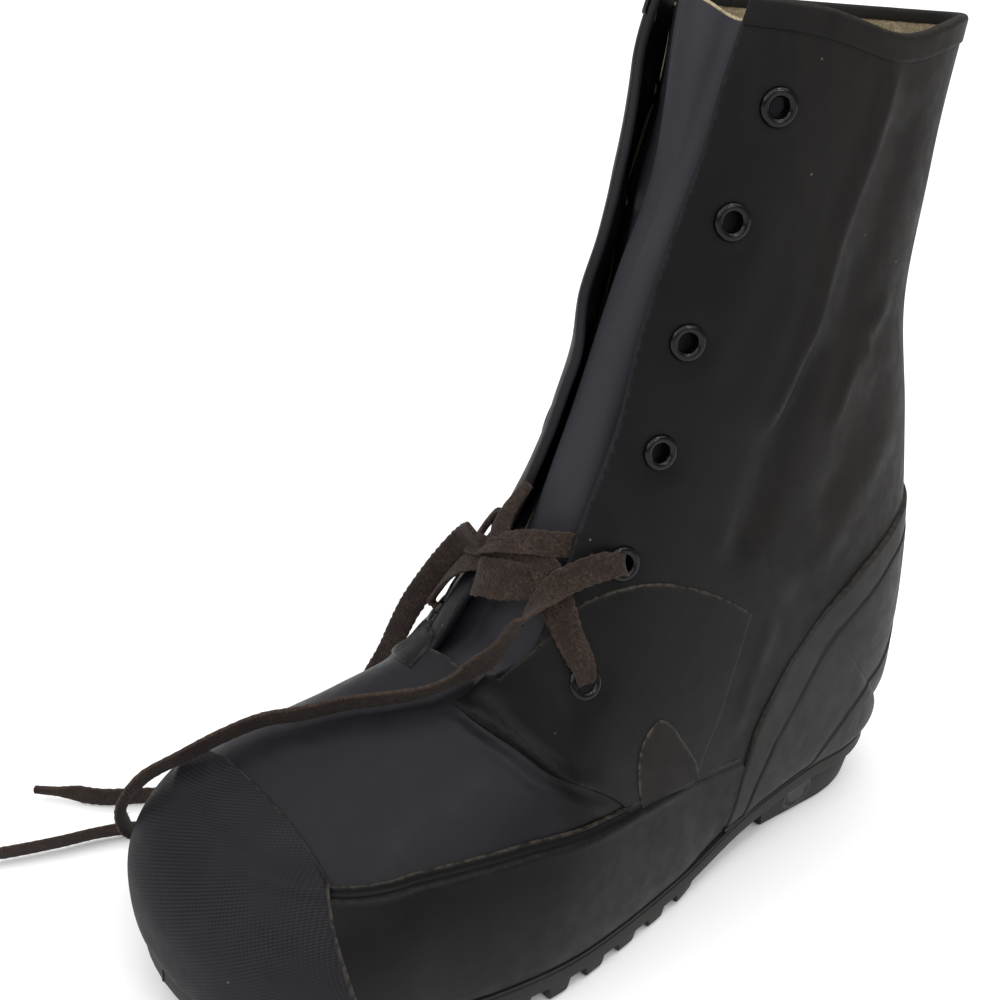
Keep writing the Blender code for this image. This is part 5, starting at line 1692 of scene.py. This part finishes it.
@dataclass
class Eyelets:
    """Twelve stamped rings, each a rolled lip outside, a barrel and a flatter lip inside."""
    skin: Skin
    bore: float = 3.0
    barrel: float = 3.5
    lip: float = 5.9
    wall: float = 3.0

    def profile(self) -> Array:
        """Radius and height of the ring's section, round the roll outside, then inside.

        Returns:
            Rows of radius and height, in millimetres.
        """
        roll = [(self.bore + (self.lip - self.bore) / 2 + (self.lip - self.bore) / 2 * math.cos(a),
                 0.1 + 1.5 * math.sin(a) ** 0.8) for a in np.linspace(0, math.pi, 13)]
        back = -self.wall
        inside = [(self.bore, -0.6), (self.bore - 0.05, back + 0.5), (self.bore + 0.1, back - 0.7),
                  (self.bore + 0.6, back - 1.15), (self.lip - 1.6, back - 1.0), (self.lip - 0.9, back - 0.5),
                  (self.lip - 1.0, back - 0.1), (self.barrel, back), (self.barrel, -0.2)]
        return np.array(roll + inside)

    def build(self) -> None:
        """All the rings; each stands for its own packed one."""
        turns = np.linspace(0, 2 * math.pi, 41)[:-1]
        profile = self.profile()
        for side in BOTH:
            for number, place in enumerate(self.skin.last.eyelets(side), 1):
                centre = self.skin.surface(side, *place)
                around = [self.skin.surface(side, place[0] + a, place[1] + b)
                          for a, b in ((0.12, 0), (-0.12, 0), (0, 0.03), (0, -0.03))]
                normal = unit(np.cross(around[0] - around[1], around[2] - around[3]))
                outward = self.skin.last.normals(side, *place)
                normal = normal if (normal * outward).sum() > 0 else -normal
                first = unit(np.cross(normal, (0.0, 0.0, 1.0)))
                second = np.cross(normal, first)
                ring = (centre + profile[None, :, :1] * (np.cos(turns)[:, None, None] * first
                                                         + np.sin(turns)[:, None, None] * second)
                        + profile[None, :, 1:] * normal)
                name = f"{side.name.lower()}_{number}"
                maker = Maker(f"ring_{name}")
                maker.tube(maker.add(ring), wrap=True)
                piece = maker.build(EYELET_ENAMEL, smooth_angle=65)
                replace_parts(piece, f"eyelet_{name}")


# ---- the lace ---------------------------------------------------------------------------
@dataclass
class Lace:
    """One flat cotton lace through the four lowest eyelets, tied once, both ends loose."""
    skin: Skin
    width: float = 9.0
    thickness: float = 1.8
    fibres_per_mm: float = 9.0
    fibre_lengths: tuple[float, float] = (0.35, 1.15)
    rng: np.random.Generator = field(default_factory=lambda: np.random.default_rng(11))
    knot: Point = (3.85, 0.195, 7.8)
    long_end: tuple[Point, ...] = (
        (3.3, 0.145, 8.2), (2.75, 0.15, 6.8), (2.13, 0.155, 5.9), (1.55, 0.14, 5.6), (1.1, 0.06, 5.6),
        (0.72, -0.04, 5.6), (0.35, -0.14, 5.6), (0.03, -0.21, 5.7), (-0.2, -0.26, 6.6), (-0.40, -0.315, 7.5),
        (-0.52, -0.385, 8.7), (-0.56, -0.50, 10.4), (-0.50, -0.66, 10.7))
    long_floor: tuple[Point, ...] = ((-72, -127, 14), (-85, -121, 5.6), (-97, -128, 4.7), (-102, -148, 4.7),
                                     (-108, -170, 4.7), (-115, -190, 4.7))
    short_end: tuple[Point, ...] = (
        (4.02, -0.213, 5.8), (3.9, -0.27, 5.8), (3.5, -0.34, 7.2), (2.9, -0.42, 7.8), (2.3, -0.52, 8.0),
        (1.8, -0.62, 9.2), (1.4, -0.78, 9.4))
    short_floor: tuple[Point, ...] = (
        (-74, -66, 8), (-88, -82, 4.8), (-102, -100, 4.7), (-111, -113, 4.7), (-118, -126, 4.7), (-129, -137, 4.7),
        (-139, -148, 4.7))

    def bare(self, station: float, place: float, lift: float) -> Array:
        """A point off the closed front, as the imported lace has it."""
        return self.skin.last.lifted(L if place >= 0 else M, station, abs(place), lift)

    def over(self, station: float, place: float, lift: float) -> Array:
        """A point off the finished rubber, out over the medial flap where it stands forward.

        Args:
            station: The place's station.
            place: Its fraction, negative on the medial side.
            lift: How far off, in millimetres.

        Returns:
            The point, in millimetres.
        """
        point = self.bare(station, place, lift)
        if place < 0:
            point = point + self.skin.waved(station, -place) * float(smooth(0.0, AT_GAP, -place))
        return point

    def normal(self, station: float, place: float) -> Array:
        """The outward normal at a place across the closed front."""
        return self.skin.last.normals(L if place >= 0 else M, station, abs(place))

    def strip(self, name: str, centre: Array, up: Array, twist: Sequence[tuple[float, float]] = ((0, 0), (1, 0)),
              widths: Sequence[tuple[float, float]] = ((0, 1), (1, 1)), curl: float = 0.0) -> tuple:
        """A flat braided strip along a line, and the fibres along its edges.

        Args:
            name: The piece's name.
            centre: Its middle line, in millimetres, closely spaced.
            up: The direction its flat face looks, at each point.
            twist: Share of the length against turn in degrees.
            widths: Share of the length against share of the full width.
            curl: How far its edges bend up, in millimetres.

        Returns:
            The strip and its fibres.
        """
        along = arc(centre)
        share = along / along[-1]
        tangent = unit(np.gradient(centre, axis=0))
        across = unit(np.cross(up, tangent))
        up = np.cross(tangent, across)
        angle = np.radians(np.interp(share, *zip(*twist)))[:, None]
        across, up = across * np.cos(angle) + up * np.sin(angle), up * np.cos(angle) - across * np.sin(angle)
        narrow = np.interp(share, *zip(*widths))
        half = self.width / 2 * narrow * (1 + 0.03 * np.sin(along * 1.7) + 0.02 * np.sin(along * 4.1))
        thick = self.thickness / 2 * np.interp(narrow, (0.3, 1.0), (1.5, 1.0))
        section = np.array(((-1, 0), (-0.97, 0.5), (-0.86, 0.8), (-0.5, 0.86), (0, 1.0), (0.5, 0.86), (0.86, 0.8),
                            (0.97, 0.5), (1, 0), (0.97, -0.5), (0.86, -0.8), (0.5, -0.86), (0, -1.0), (-0.5, -0.86),
                            (-0.86, -0.8), (-0.97, -0.5)))
        bend = curl * (section[:, 0] ** 2 - 0.4)
        ring = (centre[:, None] + across[:, None] * (section[None, :, :1] * half[:, None, None])
                + up[:, None] * (section[None, :, 1:] * thick[:, None, None] + bend[None, :, None]))
        maker = Maker(name, ("edge",))
        lie = np.stack(np.broadcast_arrays(along[:, None], section[None, :, 0] * self.width / 2), -1)
        numbers = maker.add(ring, lie, edge=smooth(0.8, 1.0, np.abs(section[:, 0]))[None, :])
        maker.tube(numbers)
        strip = maker.build(LACE_COTTON, weld=0.01, smooth_angle=70)
        fibres = self.fibres(f"{name}_fibres", centre, across, up, half, curl)
        return strip, fibres

    def fibres(self, name: str, centre: Array, across: Array, up: Array, half: Array, curl: float) -> bpy.types.Object:
        """Loose cotton fibres, about a millimetre long, off both edges and the faces of a strip.

        Args:
            name: The piece's name.
            centre: The strip's middle line.
            across: Its direction across at each point.
            up: The way its flat face looks.
            half: Half its width.
            curl: How far its edges bend up.

        Returns:
            The piece.
        """
        length = arc(centre)[-1]
        count = int(length * self.fibres_per_mm)
        where = self.rng.uniform(0, len(centre) - 1.001, count)
        index = where.astype(int)
        rest = (where - index)[:, None]
        middle, side, face, reach = (values[index] * (1 - rest) + values[index + 1] * rest
                                     for values in (centre, across, up, half[:, None]))
        spread = self.rng.choice((-1.0, 1.0), count) * np.where(self.rng.random(count) < 0.7, 0.98,
                                                               self.rng.uniform(0, 0.9, count))
        flip = self.rng.choice((-1.0, 1.0), count)
        root = (middle + side * (spread * reach[:, 0])[:, None]
                + face * (flip * np.where(np.abs(spread) > 0.9, 0.2, self.thickness / 2))[:, None]
                + face * (curl * (spread ** 2 - 0.4))[:, None])
        outward = (side * spread[:, None] + face * (0.7 * flip * self.rng.random(count))[:, None]
                   + self.rng.normal(0, 0.45, (count, 3)))
        size = self.rng.uniform(*self.fibre_lengths, count)[:, None]
        tip = root + unit(outward) * size
        broad = unit(np.cross(outward, self.rng.normal(0, 1, (count, 3)))) * 0.045
        maker = Maker(name, ("edge",))
        numbers = maker.add(np.stack((root - broad, root + broad, tip), 1), edge=1.6)
        maker.fill(numbers.tolist())
        return maker.build(LACE_COTTON, weld=0.0001, smooth_angle=180)

    def route(self, points: Sequence[Point], step: float = 0.9) -> tuple[Array, Array]:
        """A smooth close line through places on the boot, and the normals along it.

        Args:
            points: Rows of station, place and lift.
            step: Millimetres between the line's points.

        Returns:
            The line and its normals.
        """
        rows = catmull(points, 16 * len(points))
        line = np.array([self.over(*row) for row in rows])
        normal = np.array([self.normal(row[0], row[1]) for row in rows])
        along = arc(line)
        even = np.linspace(0, along[-1], max(8, int(along[-1] / step)))
        both = respaced(np.hstack((line, normal)), along, even)
        return both[:, :3], unit(both[:, 3:])

    def build(self) -> None:
        """The runs, the crossings, the tie and both ends."""
        self.build_ends()
        lateral, medial = self.skin.last.eyelets(L), self.skin.last.eyelets(M)
        (s1, f1), (s2, f2) = lateral[:2]
        (m1, g1), (m2, g2) = medial[:2]
        upper, _ = self.strip("lace_upper_crossing", *self.route((
            (4.93, 0.235, -5.4), (4.9, 0.215, -4.2), (4.85, 0.197, -2.0), (4.76, 0.172, 0.4), (4.62, 0.14, 1.8),
            (4.45, 0.094, 2.0),
            (4.25, 0.042, 1.8), (4.03, -0.03, 2.0), (3.88, -0.12, 2.6), (3.80, -0.21, 3.0), (3.88, -0.28, 2.8),
            (4.1, -0.315, 2.2), (m2 - 0.2, -g2 - 0.005, 2.0), (m2, -g2, 1.0), (m2, -g2, -1.5))),
            twist=((0, 0), (0.3, 20), (0.5, 40), (0.66, 10), (1, 0)),
            widths=((0, 0.9), (0.3, 0.9), (0.5, 0.8), (0.75, 0.9), (0.93, 0.6), (1, 0.5)), curl=0.5)
        self.strip("lace_return_run", *self.route((
            (4.52, 0.17, -0.2), (4.38, 0.12, 0.6), (4.2, 0.07, 0.9), (4.0, 0.0, 0.9), (3.82, -0.10, 1.2),
            (3.62, -0.21, 2.0), (3.4, -0.29, 2.6), (3.15, -0.33, 2.6), (m1 + 0.05, -g1, 2.0), (m1, -g1, -1.5))),
            twist=((0, 10), (0.3, -14), (0.6, 0), (1, 0)),
            widths=((0, 0.8), (0.1, 0.9), (0.6, 1), (0.9, 0.7), (1, 0.5)), curl=0.6)
        self.strip("lace_from_lowest_eyelet", *self.route((
            (s1, f1, -3.5), (s1 + 0.01, f1 - 0.002, 0.4), (3.76, 0.322, 2.0), (3.83, 0.275, 2.2), (3.93, 0.23, 2.1),
            (4.0, 0.19, 1.9), (3.97, 0.145, 1.7), (3.84, 0.105, 1.7), (3.70, 0.065, 1.7), (3.56, 0.015, 1.6),
            (3.44, -0.07, 1.3), (3.36, -0.15, 0.4), (3.3, -0.22, -2.6), (3.28, -0.28, -6.5))),
            widths=((0, 0.5), (0.07, 0.8), (0.16, 1), (0.42, 1.1), (0.6, 1.5), (0.8, 1.4), (1, 0.8)), curl=0.7)
        line, normal = self.route((
            (s2, f2, -3.5), (s2 - 0.01, f2 - 0.002, 0.4), (5.2, 0.30, 2.4), (4.94, 0.264, 3.6), (4.62, 0.228, 4.5),
            (4.32, 0.199, 5.2), (4.04, 0.184, 6.0), (3.78, 0.171, 7.0), (3.54, 0.160, 7.9), (3.38, 0.151, 8.2),
            (3.2, 0.148, 8.0)))
        # It turns on its edge where it goes over into the long end.
        turned = smooth(0.5, 0.9, np.linspace(0, 1, len(line)))[:, None]
        normal = unit(normal * (1 - turned) + np.array([self.outward(point) for point in line]) * turned)
        self.strip("lace_from_second_eyelet", line, normal, twist=((0, 30), (0.2, 10), (0.5, 6), (0.75, 40), (1, 64)),
                   widths=((0, 0.5), (0.1, 0.75), (0.25, 1), (1, 1)), curl=0.9)
        self.strip("lace_half_knot", *self.route((
            (3.69, 0.33, 1.4), (3.74, 0.306, 2.4), (3.86, 0.264, 2.8), (3.99, 0.228, 2.8), (4.13, 0.196, 2.6),
            (4.26, 0.165, 2.2), (4.34, 0.13, 1.4), (4.3, 0.10, 0.4))),
            twist=((0, 0), (0.5, -8), (1, 6)), widths=((0, 0.6), (0.15, 0.9), (0.5, 1.15), (0.8, 1.1), (1, 0.9)),
            curl=0.8)
        self.strip("lace_stub", *self.route((
            (4.1, -0.02, 0.6), (4.35, -0.05, 1.0), (4.6, -0.07, 0.4), (4.85, -0.09, -1.0), (5.05, -0.10, -2.6))),
            twist=((0, 20), (1, 60)), widths=((0, 0.9), (0.6, 0.6), (1, 0.3)))
        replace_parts(upper, "lace_bars")
        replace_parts(bpy.data.objects["lace_half_knot"], "lace_knot")

    def even(self, points: Sequence, count: int) -> Array:
        """A route as evenly spaced points.

        Args:
            points: Rows of coordinates, in millimetres.
            count: Number of steps.

        Returns:
            count + 1 points.
        """
        route = catmull(points, 200)
        along = arc(route)
        return respaced(route, along, np.linspace(0, along[-1], count + 1))

    def build_ends(self) -> None:
        """Both loose ends: over the boot, then along the floor."""
        knot, first = self.bare(*self.knot), self.bare(*self.long_end[0])
        start = knot + (first - knot) / np.linalg.norm(first - knot) * 10.6
        long_path = self.even([start] + [self.bare(*row) for row in self.long_end] + list(self.long_floor), 22)
        short_path = self.even([self.bare(*row) for row in self.short_end] + list(self.short_floor), 19)
        for name, node, path, twist in (
                ("lace_long_end", "lace_end_long", long_path,
                 ((0, 64), (0.1, 58), (0.2, 55), (0.32, 45), (0.45, 40), (0.5, 20), (0.54, -15), (0.59, -50),
                  (0.63, -95), (0.68, -150), (0.72, -110), (0.82, -120), (1, -118))),
                ("lace_short_end", "lace_end_short", short_path, ((0, 60), (0.3, 80), (0.6, 62), (1, 84)))):
            line = catmull(path, 14 * (len(path) - 1))
            tangent = unit(np.gradient(line, axis=0))
            up = np.array([self.outward(point) for point in line])
            up = unit(up - tangent * (up * tangent).sum(-1, keepdims=True))
            for _ in range(30):
                up[1:-1] = unit((up[:-2] + up[1:-1] * 2 + up[2:]) / 4)
            ends = ((0, 1), (0.93, 1), (0.965, 0.42), (1, 0.3))
            strip, fibres = self.strip(name, line, up, twist=twist, widths=ends)
            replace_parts(strip, node)
            world = [tuple(point) for point in to_frame(path)]
            length = float(np.linalg.norm(np.diff(to_frame(path), axis=0), axis=1).sum())
            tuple(world[0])

    def outward(self, point: Array) -> Array:
        """Up from the nearest rubber, or straight up over the floor.

        Args:
            point: A point of the lace, in millimetres.

        Returns:
            A unit vector.
        """
        if point[2] < 12 or point[0] < -66:
            return np.array((0.0, 0.0, 1.0))
        middle = np.array((-3.0, max(point[1], -100.0), 20.0))
        return unit(point - middle)


# ---- the sole ---------------------------------------------------------------------------
@dataclass
class Sole:
    """The moulded bottom with its bars, the heel block and the felt board inside."""
    last: Last
    plate: float = 8.0
    shelf: float = 0.5
    lug_pitch: float = 17.0
    lug_land: float = 10.0
    lug_draft: float = 1.2
    lugs: tuple[float, float] = (-135.0, 22.0)    # where the first bar starts, and none starts past
    tip_length: float = 16.0
    springs: tuple[float, float] = (140.0, 50.0)  # square of the run for each millimetre of rise, ahead and behind
    flat_front: float = -108.0
    flat_back: float = 14.0
    board_inset: float = 6.5
    board_crown: float = 2.5
    heel_top: float = 39.5         # half widths at its top and at the ground
    heel_ground: float = 36.5
    heel_breast: float = 76.0
    heel_end: float = 159.0
    heel_turn: float = 46.0        # length of its rounded back
    heel_slopes: tuple[float, float] = (5.0, 2.0)    # how far it is drawn in at the ground, in front and behind
    heel_bars: tuple[float, float] = (12.5, 1.3)     # pitch and depth of the grooves under it
    # The block's side: share of its height against how far that is drawn in.
    heel_side: tuple[tuple[float, float], ...] = (
        (1.0, 0.0), (0.93, 0.35), (0.9, 0.35), (0.86, 0.0), (0.5, 0.0), (0.12, 0.0), (0.04, 0.5), (0.0, 1.6))

    def __post_init__(self) -> None:
        """Reads the feather line's height and the band's outline off the last."""
        stations = np.linspace(0, HEEL_SEAM, 281)
        rows = self.last.rows(stations)
        self.feather = (rows["base_y"], rows["base_z"])
        self.outline, self.inner_outline = {}, {}
        around = np.concatenate((np.linspace(TOE, 0, 60), np.linspace(0, HEEL_SEAM - 1, 80)[1:],
                                 HEEL_SEAM - 1 + np.sin(np.linspace(0, math.pi / 2, 50))[1:-1]))
        for side in BOTH:
            lifts = BAND_SEAT + BAND_THICK - 1.2 * smooth(3.9, 5.0, around)
            self.outline[side] = np.array([self.last.lifted(side, s, self.last.foot(side, s, lift), lift)
                                           for s, lift in zip(around, lifts)])
            self.inner_outline[side] = self.last.form(side, around, 1.0)

    def height(self, y: float) -> float:
        """Height of the feather line.

        Args:
            y: The place along the foot, in millimetres.

        Returns:
            The height, in millimetres.
        """
        front, base = Last.ROWS["toe"][:2]
        if y < front:
            share = min((front - y) / (front - Last.TIP_Y), 1.0) ** Last.TOE_ROUND
            return base + (Last.TIP_BASE - base) * share
        return float(np.interp(y, *self.feather))

    def tread(self, y: float, land: float) -> float:
        """Height of the tread's ground face, or of the groove where land is 0.

        Args:
            y: The place along the foot.
            land: 1 on a bar, 0 in a groove.

        Returns:
            The height, in millimetres.
        """
        row_z = self.height(y) - self.plate
        ahead, behind = self.springs
        rise = max(0.0, self.flat_front - y) ** 2 / ahead + max(0.0, y - self.flat_back) ** 2 / behind
        return row_z + land * (min(rise, row_z) - row_z)

    def edges(self, outline: dict, y: float, grow: float) -> tuple[float, float]:
        """Middle and half width of the sole at y.

        Args:
            outline: Each side's outline.
            y: The place along the foot.
            grow: How far past the outline.

        Returns:
            The two, in millimetres.
        """
        tip = outline[L][0, 1]
        low, high = (np.interp(max(y, tip), outline[side][:, 1], outline[side][:, 0]) for side in (M, L))
        return (low + high) / 2, max((high - low) / 2 + grow - 0.6 * float(smooth(40, 80, y)), 0.4)

    def build(self) -> None:
        """The outsole, the heel and the board."""
        self.build_outsole()
        self.build_heel()
        self.build_board()

    def lug_rows(self, tip: float, heel: float) -> list[tuple[float, float]]:
        """Places along the foot, and how far each is down on a bar.

        Args:
            tip: Where the sole starts.
            heel: Where it ends.

        Returns:
            Rows of place and share.
        """
        rows = [(tip + self.tip_length * (1 - math.cos(a)), 0.0) for a in np.linspace(0, math.pi / 2, 16)]
        y, final = self.lugs
        while y < final:
            last = y + self.lug_land
            rows += [(y - 0.5, 0.0), (y, 0.04), (y + self.lug_draft, 0.9), (y + self.lug_draft + 0.5, 1.0),
                     (y + self.lug_land / 2, 1.0), (last - self.lug_draft - 0.5, 1.0), (last - self.lug_draft, 0.9),
                     (last, 0.04), (last + 0.5, 0.0)]
            y += self.lug_pitch
        turn = heel - self.heel_turn
        rows += [(value, 0.0) for value in np.linspace(y + 2, turn, 12)]
        rows += [(turn + self.heel_turn * math.sin(a), 0.0) for a in np.linspace(0, math.pi / 2, 24)[1:]]
        return rows

    def build_outsole(self) -> None:
        """The plate with a moulded lip along its edge, and bars across it."""
        maker = Maker("tread_sole")
        rows = self.lug_rows(self.outline[L][0, 1] - self.shelf, self.outline[L][-1, 1] + self.shelf)
        rings = []
        for y, land in rows:
            middle, half = self.edges(self.outline, y, self.shelf)
            top, low = self.height(y) - 0.3, self.tread(y, land)
            under = self.height(y) - self.plate
            side = [(0.0, top), (0.0, top - 0.7), (-0.5, top - 1.1), (-0.5, top - 1.7), (0.0, top - 2.1),
                    (0.0, under + 0.9), (-0.25, under + 0.2), (-0.6, min(under, low + 1.6)),
                    (-0.95, low + 0.9), (-1.5, low + 0.2), (-2.6, low)]
            right = [(middle + max(half + x, 0.2), y, z) for x, z in side]
            left = [(middle - max(half + x, 0.2), y, z) for x, z in side]
            inner = [(middle + max(half - 2.6, 0.1) * t, y, low + 0.7 * (1 if abs(t) < 0.01 else 0))
                     for t in (0.7, 0.35, 0.06, 0.0, -0.06, -0.35, -0.7)]
            crown = [(middle - half * t, y, top) for t in (0.8, 0.0, -0.8)]
            rings.append(right + inner + left[::-1] + crown)
        maker.tube(maker.add(np.array(rings)))
        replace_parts(maker.build(TREAD_RUBBER, weld=0.01, smooth_angle=32), "outsole")

    def build_heel(self) -> None:
        """The heel block with rounded edges, cross bars under it and a bare badge ring outside."""
        maker = Maker("heel_block")
        places = np.concatenate((np.linspace(0, 1, 22), 1 + np.linspace(0, 1, 30)[1:]))
        rings = []
        for place in places:
            rows = []
            for half, breast, end in ((self.heel_top, self.heel_breast, self.heel_end),
                                      (self.heel_ground, self.heel_breast + self.heel_slopes[0],
                                       self.heel_end - self.heel_slopes[1])):
                turn = end - self.heel_turn
                y = (breast + (turn - breast) * min(place, 1.0)
                     + (self.heel_turn * math.sin((place - 1) * math.pi / 2) if place > 1 else 0.0))
                curve = 1 - np.clip((y - turn) / self.heel_turn, 0, 1) ** Last.HEEL_ROUND
                rows.append((max(half * curve ** (1 / Last.HEEL_ROUND), 0.5), y))
            (wide, y_top), (narrow, y_low) = rows
            top = self.height(y_top) - self.plate - 0.6
            right = []
            for share, inset in self.heel_side:
                z = max(top * share, 0.0) if share > 0.04 else 0.45 * (share > 0)
                right.append((max(narrow + (wide - narrow) * share - inset, 0.3), y_low + (y_top - y_low) * share, z))
            left = [(-x, y, z) for x, y, z in right]
            pitch, depth = self.heel_bars
            groove = depth * float(smooth(0.5, 0.8, math.sin(y_low * 2 * math.pi / pitch)))
            inside = [(max(narrow - 1.6, 0.3) * t, y_low, groove * float(abs(t) < 0.86))
                      for t in (0.88, 0.85, 0.4, 0.0, -0.4, -0.85, -0.88)]
            crown = [(-wide * t, y_top, top) for t in (0.7, 0.0, -0.7)]
            rings.append(right + inside + left[::-1] + crown)
        maker.tube(maker.add(np.array(rings)))
        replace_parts(maker.build(TREAD_RUBBER, weld=0.01, smooth_angle=34), "heel")
        self.build_badge()

    def build_badge(self) -> None:
        """The round moulded badge on the outer side of the heel: a plain raised ring, bare inside."""
        maker = Maker("heel_badge_ring")
        turns = np.linspace(0, 2 * math.pi, 49)[:-1]
        profile = ((8.4, -0.35), (8.2, 0.35), (7.8, 0.6), (7.3, 0.6), (6.9, 0.3), (6.7, 0.08), (3.5, 0.12),
                   (0.05, 0.14))
        y_mid, z_mid, block_height = 99.0, 9.8, 17.5
        lean = (self.heel_top - self.heel_ground) / block_height
        x_mid = self.heel_ground + lean * z_mid
        ring = np.array([[(x_mid + lift + radius * math.sin(turn) * lean, y_mid + radius * math.cos(turn),
                           z_mid + radius * math.sin(turn) * 0.92) for radius, lift in profile] for turn in turns])
        maker.weave(maker.add(ring), wrap=True)
        # The whole badge is paler: dust, and a painted highlight on the raised ring.
        maker.build(BADGE_RUBBER, weld=0.01)

    def build_board(self) -> None:
        """The felt board, a little crowned, inside on the sole."""
        maker = Maker("felt_insole", ("pale",))
        tip = Last.TIP_Y + 10.5
        places = np.concatenate((tip + 20 * (1 - np.cos(np.linspace(0, math.pi / 2, 14))),
                                 np.linspace(-120, 108, 60), 110 + 39.5 * np.sin(np.linspace(0, math.pi / 2, 18))[1:]))
        shares = np.linspace(-1, 1, 31)
        rows = []
        for y in places:
            middle, half = self.edges(self.inner_outline, y, -self.board_inset)
            lift = self.board_crown * (1 - np.abs(shares) ** 14)
            rows.append(np.stack((middle + half * shares, np.full(31, y), self.height(y) + 0.2 + lift), -1))
        maker.weave(maker.add(np.array(rows), pale=0.1))
        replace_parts(maker.build(INSOLE_FELT), "insole")


# ---- the studio -------------------------------------------------------------------------
@dataclass
class Studio:
    """A white sweep, soft overhead and side light, and the camera."""
    position: Point = (0.283, -0.2727, 0.313)
    azimuth: float = 50.5
    elevation: float = 23.2
    roll: float = 3.4
    lens: float = 45.0
    overhead: float = 3.3
    surround: float = 0.42

    def build_camera(self) -> None:
        """The camera, looking down at the boot from its outer front quarter."""
        a, e, c = (math.radians(v) for v in (self.azimuth, self.elevation, self.roll))
        forward = Vector((-math.sin(a) * math.cos(e), math.cos(a) * math.cos(e), -math.sin(e)))
        right = forward.cross(Vector((0, 0, 1))).normalized()
        up = right.cross(forward)
        right, up = right * math.cos(c) + up * math.sin(c), up * math.cos(c) - right * math.sin(c)
        data = bpy.data.cameras.new("studio_camera")
        data.lens, data.sensor_width = self.lens, 36.0
        camera = placed("studio_camera", data)
        turn = Matrix((right, up, -forward)).transposed().to_4x4()
        camera.matrix_world = Matrix.Translation(self.position) @ turn
        bpy.context.scene.camera = camera

    def build_floor(self) -> None:
        """The paper under the boot, which rises a little far behind it."""
        bm = bmesh.new()
        bmesh.ops.create_grid(bm, x_segments=60, y_segments=60, size=40.0)
        for vert in bm.verts:
            vert.co.z = 0.05 * max(vert.co.xy.length - 4.0, 0.0)
        mesh = bpy.data.meshes.new("paper_sweep")
        bm.to_mesh(mesh)
        bm.free()
        mesh.materials.append(dressed(PAPER))
        mesh.shade_smooth()
        floor = placed("paper_sweep", mesh)
        floor.location = (0, 0, -0.0004)

    def build_lights(self) -> None:
        """A broad overhead light, two soft boxes and an even pale surround."""
        scene = bpy.context.scene
        broad = bpy.data.lights.new("broad_overhead", "SUN")
        broad.energy, broad.angle = self.overhead, math.radians(110)
        light = placed("broad_overhead", broad)
        light.rotation_mode = "QUATERNION"
        light.rotation_quaternion = Vector((-0.12, 0.3, -1.0)).to_track_quat("-Z", "Y")
        for name, place, size, power in (("front_box", (-0.2, -0.9, 0.95), 0.2, 1.2),
                                         ("side_box", (1.2, -0.1, 0.8), 0.2, 1.6),
                                         ("top_box", (0.5, 0.05, 1.4), 0.15, 2.0)):
            data = bpy.data.lights.new(name, "AREA")
            data.shape, data.size, data.energy = "SQUARE", size, power
            light = placed(name, data)
            light.location = place
            aim = Vector((0, 0, 0.12)) - Vector(place)
            light.rotation_mode = "QUATERNION"
            light.rotation_quaternion = aim.to_track_quat("-Z", "Y")
        world = bpy.data.worlds.new("pale_surround")
        world.use_nodes = True
        background = world.node_tree.nodes["Background"]
        background.inputs["Color"].default_value = (1.0, 1.0, 1.0, 1.0)
        background.inputs["Strength"].default_value = self.surround
        scene.world = world
        scene.view_settings.view_transform = "Standard"


def main() -> None:
    """Builds the boot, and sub-assembly by sub-assembly."""
    logging.basicConfig(level=logging.INFO, format="%(name)s: %(message)s")
    studio = Studio()
    studio.build_camera()
    last = Last()
    skin = Skin(last, FOLDS)
    Lace(skin).build()
    studio.build_floor()
    studio.build_lights()
    Upper(skin).build()
    for panel in (quarter_panel(skin), medial_panel(skin), side_tab(skin, L), side_tab(skin, M)):
        panel.build()
    BackStay(skin).build()
    Band(last).build()
    ToeCap(last).build()
    HeelCounter(last).build()
    Tongue(skin).build()
    Eyelets(skin).build()
    Sole(last).build()


if __name__ == "__main__":
    main()
